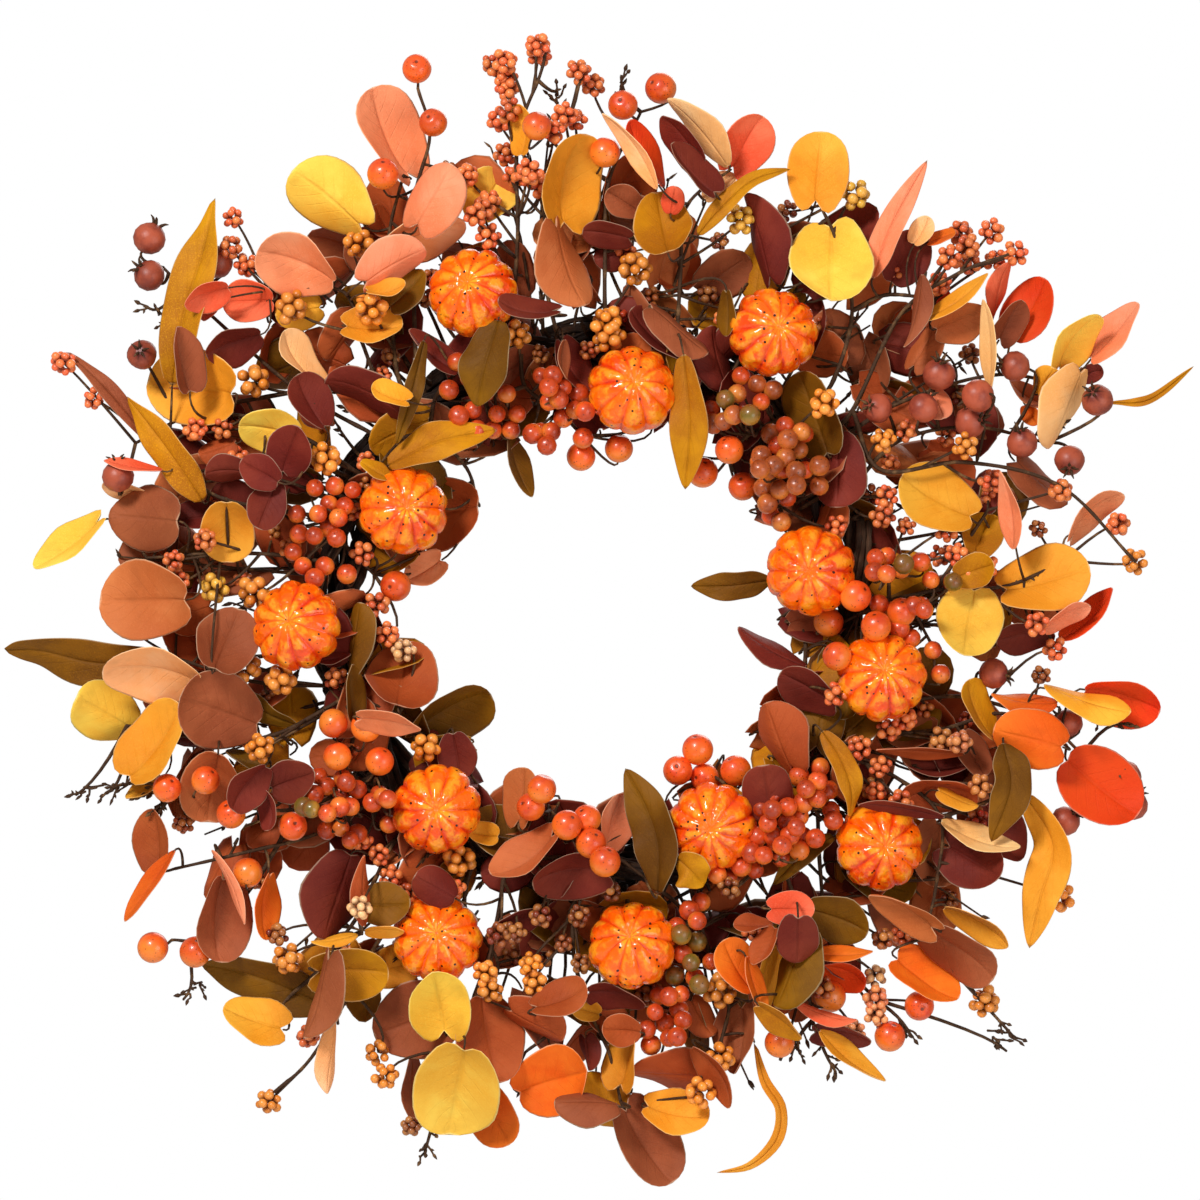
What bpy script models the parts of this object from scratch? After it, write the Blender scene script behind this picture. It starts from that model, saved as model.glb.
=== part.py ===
"""Harvest door wreath: three twisted vines bound into a ring, pumpkins, leaf sprays and berry branches.

The wreath hangs on a door: +Z is up, +X is to the right and the front looks towards -Y.
The origin is the hanging point, on the underside of the top of the ring.
Plan places are millimetres from the middle of the ring, x to the right and z up, on a ring
of PLAN_RADIUS. "lift" is how far a piece stands in front of the middle of the vines, before
it is moved forward just enough to lie clear of what is behind it.
"""
import math

import bpy
import numpy as np
from mathutils import Vector
from mathutils.bvhtree import BVHTree

MM = 0.001

# Ring of vines
RING_RADIUS = 0.132
VINE_RADIUS = 0.0075
VINE_GAP = 0.0012
VINE_COUNT = 3
VINE_TURNS = 4
VINE_SIDES = 5
VINE_STEPS = 40
TIE_RADIUS = 0.0012
TIE_ANGLES = (62.0, 188.0, 296.0)

# Pumpkins
PUMPKIN_RADIUS = 0.0215
PUMPKIN_DEPTH = 0.034
PUMPKIN_LOBES = 8
LOBE_DEPTH = 0.08
PICK_RADIUS = 0.0012

# Leaves, stems and berries
LEAF_THICKNESS = 0.0013
LEAF_RATIO = 0.82
LEAF_SCALE = 1.0
SWEEP_BACK = 0.14
STEM_RADIUS = 0.0015
STALK_RADIUS = 0.00055
BERRY_RADIUS = 0.0071
SMALL_BERRY_RADIUS = 0.0044
HIP_RADIUS = 0.0079
BEAD_LUMP_RADIUS = 0.0046

# Gaps
TOUCH_GAP = 0.0003
CLEARANCE = 0.00045
STEP_FORWARD = 0.0015

PLAN_RADIUS = 132.0
VINE_ORBIT = (2.0 * VINE_RADIUS + VINE_GAP) / math.sqrt(3.0)
SECTION_RADIUS = VINE_ORBIT + VINE_RADIUS
RING_CENTRE_Z = -(RING_RADIUS - SECTION_RADIUS)
BACK_PLANE = SECTION_RADIUS - 0.001

COLOURS = {
    "vine": (0.045, 0.028, 0.018), "tie": (0.10, 0.07, 0.04), "pumpkin": (0.95, 0.26, 0.02),
    "berry": (0.85, 0.16, 0.05), "hip": (0.42, 0.09, 0.06), "bead": (0.78, 0.23, 0.10),
    "rust": (0.48, 0.10, 0.04), "salmon": (0.78, 0.24, 0.13), "tan": (0.46, 0.13, 0.05),
    "brown": (0.27, 0.08, 0.03), "maroon": (0.10, 0.02, 0.015), "yellow": (0.92, 0.46, 0.05),
    "gold": (0.78, 0.33, 0.02), "orange": (0.82, 0.14, 0.02), "red": (0.86, 0.09, 0.02),
    "coral": (0.86, 0.17, 0.08), "peach": (0.90, 0.40, 0.20), "mustard": (0.46, 0.20, 0.01),
    "olive": (0.15, 0.07, 0.01), "pale": (0.92, 0.60, 0.25),
}

# Pumpkins: x, z, lift of the middle, tilt of the crown sideways and upwards in degrees
PUMPKINS = (
    (-62.0, 158.5, 36.0, -10, 20), (17.5, 110.0, 38.0, 5, 15), (88.0, 138.5, 36.0, 10, 10),
    (-96.5, 50.0, 38.0, 8, 5), (-150.0, -8.0, 38.0, -15, 10), (106.5, 19.5, 38.0, -5, 0),
    (142.0, -33.5, 38.0, 5, 15), (-80.0, -99.5, 38.0, 0, 0), (57.5, -108.0, 38.0, -5, -5),
    (141.5, -118.0, 34.0, 10, 0), (-80.0, -164.0, 34.0, 0, 12), (17.5, -167.5, 34.0, -5, 20),
)

# Leaf: colour, x, z, heading in degrees from base to tip, length, width, lift.
# Blade: colour, width, lift, centre line from base to tip.
# Each stem starts at the ring or on the stem before it: x, z, lift.
LEAF_SPRAYS = (
    dict(stems=(((-100, 118, 24), (-104, 165, 28), (-104, 190, 30), (-97, 218, 34)),),
         leaves=(("yellow", -134, 207, 141, 46, 34, 34), ("rust", -104, 239, 114, 50, 30, 30),
                 ("salmon", -81, 206, 60, 37, 28, 38), ("peach", -85, 188, 20, 40, 20, 30),
                 ("yellow", -54, 208, 60, 27, 27, 22))),
    dict(stems=(((-104, 97, 24), (-118, 135, 28), (-128, 160, 30), (-165, 160, 30)),),
         leaves=(("salmon", -150, 173, 157, 42, 30, 38), ("brown", -102, 173, 30, 36, 22, 40),
                 ("coral", -175, 155, 180, 26, 22, 30), ("gold", -150, 150, 190, 24, 20, 24),
                 ("gold", -112, 142, 0, 30, 20, 24), ("peach", -148, 125, 128, 34, 14, 34),
                 ("olive", -95, 160, 45, 26, 18, 18))),
    dict(stems=(((-122, 70, 24), (-150, 88, 26), (-186, 98, 28), (-214, 84, 28)),),
         leaves=(("gold", -203, 112, 170, 44, 40, 26), ("brown", -206, 125, 100, 34, 15, 40),
                 ("yellow", -164, 90, 170, 31, 23, 34), ("maroon", -153, 80, 70, 25, 24, 46),
                 ("maroon", -168, 69, 150, 22, 18, 50), ("maroon", -165, 51, 250, 23, 20, 46),
                 ("maroon", -185, 70, 180, 22, 14, 42))),
    dict(stems=(((-136, 24, 24), (-165, 28, 26), (-198, 28, 28), (-226, 26, 28)),),
         leaves=(("brown", -226, 46, 175, 36, 34, 34), ("maroon", -203, 47, 185, 22, 15, 26),
                 ("gold", -185, 40, -90, 30, 28, 36), ("yellow", -266, 33, 216, 42, 16, 26),
                 ("tan", -226, 5, 180, 44, 41, 36), ("rust", -205, -2, 200, 24, 22, 24),
                 ("brown", -185, -16, 70, 32, 32, 46))),
    dict(stems=(((-128, -45, 24), (-160, -62, 26), (-188, -66, 28), (-214, -62, 28),
                 (-236, -58, 28)),),
         leaves=(("peach", -223, -31, 172, 48, 27, 44), ("yellow", -248, -51, 150, 33, 31, 30),
                 ("gold", -221, -66, 55, 46, 28, 40), ("brown", -190, -50, 160, 42, 40, 32),
                 ("tan", -192, -88, -100, 34, 34, 34), ("maroon", -152, -85, 20, 24, 22, 46),
                 ("maroon", -174, -88, 230, 28, 18, 50), ("maroon", -164, -100, -80, 20, 10, 42))),
    dict(stems=(((-112, -95, 24), (-140, -112, 26), (-178, -122, 28), (-212, -130, 28)),),
         leaves=(("rust", -222, -115, 95, 31, 19, 30), ("orange", -224, -138, 235, 44, 9, 36),
                 ("brown", -189, -155, -95, 43, 27, 34), ("salmon", -183, -138, -67, 41, 6, 44),
                 ("orange", -166, -149, -93, 33, 12, 34))),
    dict(stems=(((-104, -120, 22), (-118, -150, 26), (-133, -176, 28), (-130, -208, 30)),
                ((-133, -176, 28), (-150, -190, 28), (-158, -198, 28))),
         leaves=(("maroon", -131, -143, -110, 46, 30, 36), ("rust", -117, -140, 90, 36, 9, 44),
                 ("olive", -107, -147, 0, 28, 22, 30), ("mustard", -123, -181, 0, 38, 28, 24),
                 ("mustard", -101, -179, 20, 28, 22, 20), ("brown", -137, -193, -103, 44, 16, 42),
                 ("tan", -134, -223, -98, 38, 10, 44), ("gold", -172, -205, 160, 33, 22, 30)),
         blades=(("olive", 28, 24, ((-135, -200), (-168, -186), (-200, -178))),)),
    dict(stems=(((-46, -130, 22), (-52, -165, 26), (-62, -195, 28), (-70, -220, 30), (-80, -248, 30)),),
         leaves=(("brown", -90, -206, 200, 42, 40, 24), ("yellow", -79, -196, 100, 33, 32, 36),
                 ("rust", -54, -215, -80, 45, 34, 34), ("rust", -30, -206, -25, 32, 18, 28),
                 ("yellow", -70, -240, -100, 46, 45, 44), ("orange", -53, -254, -60, 35, 26, 26),
                 ("brown", -92, -242, -85, 36, 13, 22), ("maroon", -81, -138, 150, 24, 20, 20))),
    dict(stems=(((-10, -134, 22), (-12, -170, 26), (-4, -200, 28), (6, -222, 30), (12, -247, 32)),
                ((-9, -185, 27), (-22, -210, 28), (-36, -222, 28))),
         leaves=(("orange", -18, -194, 20, 29, 18, 34), ("maroon", 10, -193, -10, 30, 13, 26),
                 ("rust", 5, -205, -40, 26, 18, 22), ("tan", 12, -210, 175, 20, 17, 36),
                 ("gold", 14, -224, 80, 32, 16, 24), ("orange", -21, -236, 20, 38, 36, 34),
                 ("mustard", 1, -247, 150, 34, 26, 26), ("brown", -5, -247, 178, 33, 15, 46),
                 ("brown", 25, -268, -58, 46, 30, 40))),
    dict(stems=(((46, -136, 20), (54, -165, 26), (66, -195, 28), (60, -222, 30), (50, -244, 32)),),
         leaves=(("rust", 38, -232, 175, 42, 22, 30), ("rust", 59, -232, -55, 36, 12, 42),
                 ("gold", 40, -252, -10, 33, 22, 38), ("brown", 71, -215, -95, 36, 19, 30),
                 ("rust", 52, -205, -60, 22, 16, 22), ("orange", 70, -178, 120, 30, 20, 40),
                 ("orange", 79, -187, -72, 30, 9, 46)),
         blades=(("gold", 7, 30, ((79, -217), (84, -236), (92, -250), (90, -266), (77, -279), (60, -283))),)),
    dict(stems=(((86, -112, 22), (98, -142, 26), (104, -172, 28), (108, -206, 30)),),
         leaves=(("mustard", 86, -182, -105, 42, 12, 30), ("olive", 99, -180, -110, 42, 20, 34),
                 ("maroon", 100, -164, -90, 24, 22, 38), ("mustard", 91, -205, -38, 28, 11, 46),
                 ("coral", 97, -149, 0, 23, 18, 50), ("olive", 121, -155, -20, 32, 24, 34),
                 ("orange", 122, -172, 0, 32, 8, 42), ("maroon", 122, -182, -15, 28, 14, 30),
                 ("coral", 113, -202, -20, 34, 7, 44), ("maroon", 123, -213, -10, 30, 13, 36),
                 ("gold", 127, -224, -38, 42, 10, 40))),
    dict(stems=(((122, -72, 22), (150, -84, 28), (172, -104, 30), (170, -138, 30), (164, -165, 32)),
                ((172, -104, 30), (190, -98, 32), (205, -92, 34))),
         leaves=(("tan", 153, -150, 150, 38, 14, 50), ("brown", 180, -170, -33, 47, 22, 40),
                 ("orange", 165, -185, -35, 38, 22, 34), ("gold", 191, -158, -30, 38, 12, 30),
                 ("maroon", 172, -122, -90, 34, 28, 22), ("maroon", 189, -126, -30, 32, 30, 30),
                 ("salmon", 191, -114, -20, 42, 12, 40), ("rust", 172, -92, 5, 38, 19, 32),
                 ("maroon", 152, -99, 170, 44, 7, 44)),
         blades=(("olive", 22, 42, ((203, -66), (207, -88), (197, -116))),
                 ("gold", 22, 34, ((214, -92), (228, -118), (222, -145), (217, -170))))),
    dict(stems=(((136, -62, 20), (172, -60, 24), (205, -52, 28), (236, -68, 28)),),
         leaves=(("orange", 216, -64, 165, 37, 30, 40), ("orange", 214, -46, 172, 34, 11, 32),
                 ("gold", 245, -46, -18, 46, 14, 38), ("red", 264, -45, -15, 40, 24, 28),
                 ("red", 253, -89, -38, 46, 37, 34), ("mustard", 191, -50, 115, 32, 14, 34),
                 ("brown", 189, -73, -60, 24, 16, 26), ("maroon", 170, -78, 180, 34, 14, 20),
                 ("rust", 162, -71, 177, 45, 6, 30), ("brown", 158, -63, 190, 26, 16, 18))),
    dict(stems=(((136, 2, 20), (170, 10, 24), (205, 12, 28), (235, 25, 28)),
                ((170, 10, 24), (184, 32, 26), (196, 50, 28))),
         leaves=(("red", 247, -3, 45, 37, 12, 26), ("salmon", 235, -3, 30, 26, 10, 34),
                 ("maroon", 215, -13, 190, 30, 16, 26), ("yellow", 186, -7, -100, 35, 34, 36),
                 ("gold", 225, 15, 15, 46, 33, 32), ("gold", 170, 56, 150, 42, 32, 30),
                 ("salmon", 206, 50, 100, 40, 10, 34), ("salmon", 249, 49, 44, 35, 13, 28),
                 ("mustard", 193, 38, 70, 22, 22, 26), ("mustard", 190, 20, 20, 20, 18, 34))),
    dict(stems=(((120, 84, 22), (152, 104, 26), (200, 118, 28), (240, 112, 28)),),
         leaves=(("red", 217, 151, 60, 35, 24, 30), ("brown", 207, 145, 60, 24, 15, 36),
                 ("salmon", 260, 140, 50, 38, 16, 30), ("yellow", 240, 135, 55, 35, 18, 36),
                 ("salmon", 234, 101, -113, 44, 20, 34), ("olive", 217, 108, 150, 26, 10, 24),
                 ("salmon", 196, 132, 92, 47, 8, 38), ("coral", 201, 160, 77, 31, 10, 34),
                 ("maroon", 165, 132, 60, 26, 15, 26), ("maroon", 121, 70, -90, 38, 26, 22),
                 ("olive", 108, 98, 110, 45, 26, 20)),
         blades=(("mustard", 5, 26, ((258, 104), (278, 106), (301, 123))),)),
    dict(stems=(((118, 114, 22), (128, 150, 26), (120, 185, 30), (112, 203, 30)),
                ((128, 150, 26), (145, 158, 28), (170, 156, 30))),
         leaves=(("gold", 111, 221, 85, 38, 32, 32), ("yellow", 117, 173, -90, 42, 42, 40),
                 ("maroon", 83, 187, 105, 47, 18, 30), ("maroon", 155, 177, 60, 30, 24, 28),
                 ("gold", 179, 155, 35, 42, 9, 38), ("brown", 160, 149, 258, 38, 9, 42),
                 ("red", 167, 155, 40, 20, 18, 26), ("rust", 182, 145, 20, 28, 20, 30)),
         blades=(("salmon", 15, 34, ((138, 166), (146, 190), (166, 226))),)),
    dict(stems=(((40, 138, 20), (42, 170, 26), (44, 200, 28), (58, 216, 30)),),
         leaves=(("pale", 18, 230, 125, 47, 9, 40), ("red", 24, 228, 120, 38, 13, 34),
                 ("maroon", 42, 236, 128, 30, 14, 38), ("maroon", 48, 220, 132, 34, 14, 42),
                 ("peach", 52, 240, 131, 46, 14, 34), ("coral", 75, 234, 60, 32, 25, 30),
                 ("mustard", 33, 192, 100, 30, 30, 36), ("brown", 13, 205, 150, 20, 17, 24),
                 ("maroon", 5, 188, 170, 25, 14, 24), ("maroon", 8, 178, 190, 20, 16, 20),
                 ("coral", 62, 212, 40, 20, 12, 26), ("maroon", 30, 137, -222, 38, 15, 24),
                 ("brown", 40, 139, -42, 38, 15, 30), ("brown", 65, 148, -90, 23, 9, 30)),
         blades=(("mustard", 11, 40, ((50, 187), (63, 202), (78, 215), (97, 221))),
                 ("mustard", 20, 24, ((43, 128), (46, 92), (44, 60))))),
    dict(stems=(((-20, 138, 20), (-26, 165, 26), (-26, 195, 28), (-34, 228, 30)),),
         leaves=(("gold", -37, 240, 90, 26, 12, 34), ("gold", -14, 215, 80, 48, 30, 36),
                 ("salmon", -16, 172, -72, 45, 24, 44), ("maroon", -35, 150, 170, 30, 12, 26),
                 ("maroon", -12, 122, -60, 30, 16, 24))),
    dict(stems=(((-98, 86, 20), (-84, 88, 24), (-66, 72, 20), (-60, 54, 16)),
                ((-84, 88, 24), (-80, 108, 26), (-64, 124, 28))),
         leaves=(("rust", -77, 49, 190, 38, 38, 8), ("salmon", -87, 20, 210, 22, 17, 14),
                 ("maroon", -115, 109, 154, 43, 18, 30), ("maroon", -82, 129, 139, 33, 12, 34),
                 ("mustard", -40, 74, -72, 38, 10, 24)),
         blades=(("mustard", 20, 34, ((-105, 72), (-80, 84), (-50, 90))),
                 ("olive", 26, 30, ((-49, 145), (-56, 122), (-60, 101))),
                 ("olive", 10, 36, ((-86, 135), (-92, 108), (-100, 82))))),
    dict(stems=(((-112, -62, 20), (-104, -60, 24), (-99, -52, 24)),
                ((-104, -60, 24), (-88, -62, 22), (-76, -64, 20))),
         leaves=(("rust", -98, -35, 85, 30, 38, 30), ("salmon", -103, -56, -10, 32, 12, 44),
                 ("maroon", -70, -73, -80, 24, 20, 30), ("olive", -74, -52, 30, 46, 26, 20),
                 ("olive", -120, -14, 80, 36, 14, 16), ("olive", -122, -42, 95, 30, 10, 18))),
    dict(stems=(((-30, -124, 20), (-26, -114, 24), (-24, -106, 26)),
                ((-30, -124, 20), (-10, -124, 24), (6, -122, 26), (24, -134, 24))),
         leaves=(("tan", -38, -93, 85, 29, 17, 34), ("tan", -36, -123, 214, 38, 17, 44),
                 ("maroon", -14, -132, 190, 38, 24, 34), ("tan", 9, -106, 75, 30, 18, 34),
                 ("maroon", -40, -156, 200, 24, 12, 22), ("olive", -46, -114, 150, 40, 26, 20)),
         blades=(("olive", 24, 26, ((30, -142), (30, -118), (24, -98), (14, -79))),
                 ("mustard", 20, 16, ((40, -124), (54, -137))))),
    dict(stems=(((112, -66, 20), (104, -60, 22), (100, -48, 22), (104, -34, 20)),
                ((104, -34, 20), (104, -12, 14), (94, 8, 11)),
                ((112, -66, 20), (106, -84, 22), (108, -102, 24))),
         leaves=(("tan", 92, -63, 110, 37, 23, 36), ("maroon", 85, -91, 100, 30, 26, 24),
                 ("maroon", 106, -40, 150, 34, 20, 18), ("brown", 87, -20, 150, 40, 12, 26),
                 ("olive", 112, -56, 80, 30, 26, 16)),
         blades=(("mustard", 14, 34, ((112, -60), (122, -75), (127, -90), (126, -104))),
                 ("olive", 12, 26, ((119, -113), (103, -122), (88, -138))),
                 ("olive", 16, 12, ((88, 15), (68, 12), (47, 12))))),
)

LONG_LEAF_SPRAYS = (
    dict(stems=(((-128, 46, 22), (-160, 50, 24), (-196, 60, 26), (-214, 90, 28)),),
         blades=(("mustard", 24, 36, ((-213, 112), (-208, 145), (-198, 180), (-192, 207))),
                 ("brown", 10, 30, ((-222, 82), (-247, 112), (-267, 130))),
                 ("mustard", 20, 30, ((-197, 54), (-215, 80), (-236, 107))))),
    dict(stems=(((-132, -38, 18), (-172, -36, 18), (-212, -24, 22)),),
         blades=(("olive", 24, 22, ((-216, -24), (-250, -27), (-280, -21), (-299, -20))),
                 ("olive", 12, 16, ((-180, -40), (-166, -52), (-150, -58))))),
)

# Berry branches: stems, then berries (x, z, lift) by size
BERRY_BRANCHES = (
    dict(stems=(((-90, 122, 24), (-92, 160, 20), (-92, 205, 24), (-84, 238, 28), (-90, 262, 30)),),
         berries=((-90.5, 272, 32), (-82, 244, 44), (-107, 218, 44))),
    dict(stems=(((4, 142, 20), (4, 175, 24), (6, 215, 28), (22, 250, 30)),
                ((6, 215, 28), (-14, 228, 28), (-26, 238, 30))),
         berries=((-30, 241, 44), (32, 262, 32), (13, 253, 38), (4, 229, 40))),
    dict(stems=(((-126, 32, 22), (-134, 42, 28)), ((-126, 32, 22), (-112, 18, 20))),
         berries=((-101, 12, 24),),
         small=((-141, 61, 34), (-131, 62, 34), (-122, 60, 34), (-150, 48, 34), (-139, 48, 42),
                (-129, 46, 40), (-141, 37, 40), (-152, 29, 32))),
    dict(stems=(((-38, 128, 20), (-36, 112, 26), (-20, 100, 28), (-8, 88, 26)),
                ((-36, 112, 26), (-56, 106, 28))),
         berries=((-8, 77, 24), (11, 81, 24)),
         small=((-64, 116, 36), (-45, 108, 40), (-62, 100, 34), (-50, 98, 36), (-28, 117, 36),
                (-17, 111, 40), (-24, 104, 38), (-11, 100, 38), (-28, 89, 34))),
    dict(stems=(((92, 96, 20), (84, 92, 26), (74, 86, 26), (66, 76, 24)),
                ((84, 92, 26), (94, 74, 28), (92, 52, 26))),
         berries=((66, 80, 40), (53, 69, 24), (73, 62, 24)),
         small=((72, 117, 32), (64, 105, 34), (57, 100, 32), (72, 98, 38), (82, 104, 36),
                (94, 92, 36), (104, 88, 32), (90, 82, 40), (81, 74, 36), (92, 70, 42),
                (104, 70, 34), (95, 56, 36), (87, 47, 32))),
    dict(stems=(((132, -2, 18), (146, 4, 26), (156, 2, 28), (168, -18, 28)),
                ((146, 4, 26), (146, 20, 28))),
         berries=((129, 7, 40), (139, -8, 46), (116, -6, 24), (119.5, -23, 36), (152, -1, 40)),
         small=((145, 27, 34), (139, 20, 36), (152, 20, 36), (167, 15, 34), (162, 2, 36),
                (157, -14, 36), (168, -20, 34), (178, 14, 30))),
    dict(stems=(((-122, -64, 20), (-126, -80, 26), (-128, -100, 28)),
                ((-126, -80, 26), (-112, -92, 24))),
         berries=((-131.5, -56.5, 42), (-129.5, -73, 42), (-115, -58, 34), (-108.5, -75.5, 38)),
         small=((-139, -83, 34), (-127, -84, 38), (-119.5, -89.5, 38), (-144, -95, 38),
                (-123, -98, 44), (-134, -101, 40), (-128, -109, 38), (-109, -92, 32))),
    dict(stems=(((70, -112, 14), (86, -104, 26), (104, -92, 28)),
                ((86, -104, 26), (82, -124, 28)),
                ((86, -104, 26), (72, -90, 22), (58, -80, 22))),
         berries=((50.5, -70, 26), (40.5, -80.5, 26), (69.5, -80.5, 26), (54, -84, 20)),
         small=((83, -94, 34), (94, -94, 34), (85, -106, 42), (95, -106, 44), (89, -116, 38),
                (80, -120, 38), (92, -124, 34), (79, -130, 34), (66, -134, 32),
                (111.5, -78.5, 34), (110, -88, 38), (117, -100, 32))),
    dict(stems=(((30, -136, 16), (44, -150, 20), (46, -176, 22), (36, -200, 26)),),
         small=((52, -146, 32), (40, -158, 34), (43, -172, 36), (57, -176, 32), (49, -184, 36),
                (42, -192, 38), (29, -201, 40), (43, -205, 42), (25, -210, 36),
                (36, -214, 42))),
    dict(stems=(((-14, -124, 18), (-12, -112, 28), (-26, -98, 30)),
                ((-12, -112, 28), (0, -116, 32))),
         berries=((-27.5, -89, 46), (-33, -98, 38), (-15, -107, 44), (-5, -104, 38),
                  (4, -125, 42), (-3, -116, 38))),
    dict(stems=(((-118, -86, 20), (-150, -100, 22), (-184, -98, 24), (-210, -92, 26)),
                ((-150, -100, 22), (-174, -140, 24), (-200, -164, 26), (-214, -166, 28))),
         berries=((-215, -89, 44), (-195.5, -85, 46), (-183, -102, 40), (-152, -108, 40),
                  (-175, -131.5, 38), (-223, -169.5, 34), (-201.5, -171.5, 38))),
    dict(stems=(((110, -84, 18), (112, -130, 20), (118, -170, 20), (140, -196, 24)),
                ((118, -170, 20), (100, -200, 24))),
         berries=((91.5, -217, 34), (117, -194, 30), (147, -214, 32), (162, -199, 26))),
)

HIP_BRANCHES = (
    dict(stems=(((-112, 88, 18), (-150, 110, 20), (-196, 150, 22), (-218, 172, 24)),
                ((-150, 110, 20), (-200, 100, 20), (-232, 84, 22))),
         hips=((-225, 187, 30), (-225, 168, 34), (-191, 175, 26), (-228, 128, 40),
               (-240, 67, 40), (-141, 99, 30))),
    dict(stems=(((126, 58, 20), (150, 84, 22), (188, 92, 24), (226, 84, 26)),),
         hips=((209, 122, 42), (171, 118, 40), (190, 107, 42), (163, 101, 44), (187, 94, 34),
               (213, 84, 36), (237, 75, 34), (140, 101, 36), (250, 105, 34))),
    dict(stems=(((150, -46, 16), (186, -44, 20), (230, -60, 22), (262, -96, 22)),),
         hips=((199, -32, 28), (237, -57, 20), (266, -84, 24), (270, -98, 22), (236, -106, 22))),
)

# Bead sprigs: stems, then lumps of beads (x, z, lift)
BEAD_SPRIGS = (
    dict(stems=(((-48, 134, 18), (-44, 190, 34), (-44, 240, 36), (-33, 272, 38), (-30, 284, 38)),
                ((-44, 240, 36), (-20, 250, 36), (-12, 272, 38))),
         beads=((-46, 275, 36), (-30, 283, 40), (-44, 250, 42), (-36, 218, 42), (-57, 200, 40),
                (-54, 187, 40), (-9, 270, 38), (-16, 248, 42))),
    dict(stems=(((128, 100, 18), (152, 148, 20), (180, 168, 34), (206, 178, 36)),
                ((128, 100, 18), (142, 70, 24), (184, 74, 26), (232, 62, 30), (270, 24, 30))),
         beads=((176, 176, 40), (186, 182, 40), (198, 190, 36), (210, 179, 38), (143, 85, 40),
                (184, 82, 44), (232, 60, 36), (270, 24, 32))),
    dict(stems=(((-62, -126, 16), (-66, -150, 16), (-50, -176, 20), (-55, -190, 24)),
                ((-62, -126, 16), (-100, -152, 18), (-140, -220, 34), (-162, -242, 34))),
         beads=((-56, -182, 40), (-53, -190, 40), (-49, -162, 36), (-165, -247, 36),
                (-33, -177, 36), (-31, -187, 36), (-110, -222, 34), (-106, -234, 36))),
)


class Solid:
    """A closed shape and what is needed to test it against its neighbours."""

    def __init__(self, points, faces, bulky=False):
        self.points = [Vector(point) for point in points]
        self.faces = faces
        self.bulky = bulky
        self.tree = BVHTree.FromPolygons(self.points, faces)
        corners = np.array(self.points)
        self.low = corners.min(axis=0)
        self.high = corners.max(axis=0)

    def contains(self, point):
        place, normal, _, _ = self.tree.find_nearest(point)
        return (point - place).dot(normal) < 0.0

    def meets(self, other):
        if (self.low > other.high).any() or (other.low > self.high).any():
            return False
        if self.tree.overlap(other.tree):
            return True
        if other.bulky and other.contains(self.points[0]):
            return True
        return self.bulky and self.contains(other.points[0])


class Node:
    """One named piece: its solids are joined into one body at the end."""

    def __init__(self, name, colour, fixed=False):
        self.name = name
        self.colour = colour
        self.fixed = fixed
        self.bodies = []
        self.stems = []
        self.paths = []

    def solids(self):
        return self.stems + self.bodies


# ---------------------------------------------------------------- shapes

def plan(x, z, lift=0.0):
    """Turn a plan place in millimetres into a point of the wreath, swept back off the ring."""
    scale = RING_RADIUS / PLAN_RADIUS
    swept = SWEEP_BACK * abs(math.hypot(x, z) - PLAN_RADIUS)
    return Vector((x * scale, (swept - lift) * MM, RING_CENTRE_Z + z * scale))


def grid_faces(rings, sides, closed=False):
    """Quads between neighbouring rings of points, with end caps unless the tube is closed."""
    faces = []
    spans = rings if closed else rings - 1
    for ring in range(spans):
        here = ring * sides
        there = (ring + 1) % rings * sides
        for side in range(sides):
            after = (side + 1) % sides
            faces.append((here + side, here + after, there + after, there + side))
    if not closed:
        faces.append(tuple(reversed(range(sides))))
        faces.append(tuple(range((rings - 1) * sides, rings * sides)))
    return faces


def tube(path, radius, sides):
    """A tube with flat ends along a list of points."""
    path = [Vector(point) for point in path]
    first = (path[1] - path[0]).normalized()
    side = first.orthogonal().normalized()
    points = []
    for index, point in enumerate(path):
        ahead = path[min(index + 1, len(path) - 1)]
        behind = path[max(index - 1, 0)]
        along = (ahead - behind).normalized()
        side = (side - along * side.dot(along)).normalized()
        up = along.cross(side)
        for step in range(sides):
            angle = 2.0 * math.pi * step / sides
            points.append(point + radius * (math.cos(angle) * side + math.sin(angle) * up))
    return Solid(points, grid_faces(len(path), sides))


def plate(stations, grow=0.0):
    """A thin plate through stations of centre, across, normal and half width."""
    points = []
    thick = LEAF_THICKNESS / 2.0 + grow
    for centre, across, normal, half in stations:
        for wide, deep in ((-1, -1), (1, -1), (1, 1), (-1, 1)):
            points.append(centre + across * wide * (half + grow) + normal * deep * thick)
    return Solid(points, grid_faces(len(stations), 4))


def ball(centre, radius, sides=5, rings=3):
    """A faceted ball of two poles and the rings of points between them."""
    points = [centre + Vector((0.0, 0.0, -radius))]
    for ring in range(1, rings):
        angle = math.pi * ring / rings
        for step in range(sides):
            turn = 2.0 * math.pi * (step + 0.5 * (ring % 2)) / sides
            points.append(centre + radius * Vector((math.sin(angle) * math.cos(turn),
                                                    math.sin(angle) * math.sin(turn),
                                                    -math.cos(angle))))
    points.append(centre + Vector((0.0, 0.0, radius)))
    top = len(points) - 1
    faces = []
    for step in range(sides):
        after = (step + 1) % sides
        faces.append((0, 1 + after, 1 + step))
        last = 1 + (rings - 2) * sides
        faces.append((top, last + step, last + after))
        for ring in range(rings - 2):
            here = 1 + ring * sides
            there = here + sides
            if ring % 2 == 0:
                faces.append((here + step, here + after, there + step))
                faces.append((here + after, there + after, there + step))
            else:
                faces.append((here + step, here + after, there + after))
                faces.append((here + step, there + after, there + step))
    return Solid(points, faces, bulky=True)


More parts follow.
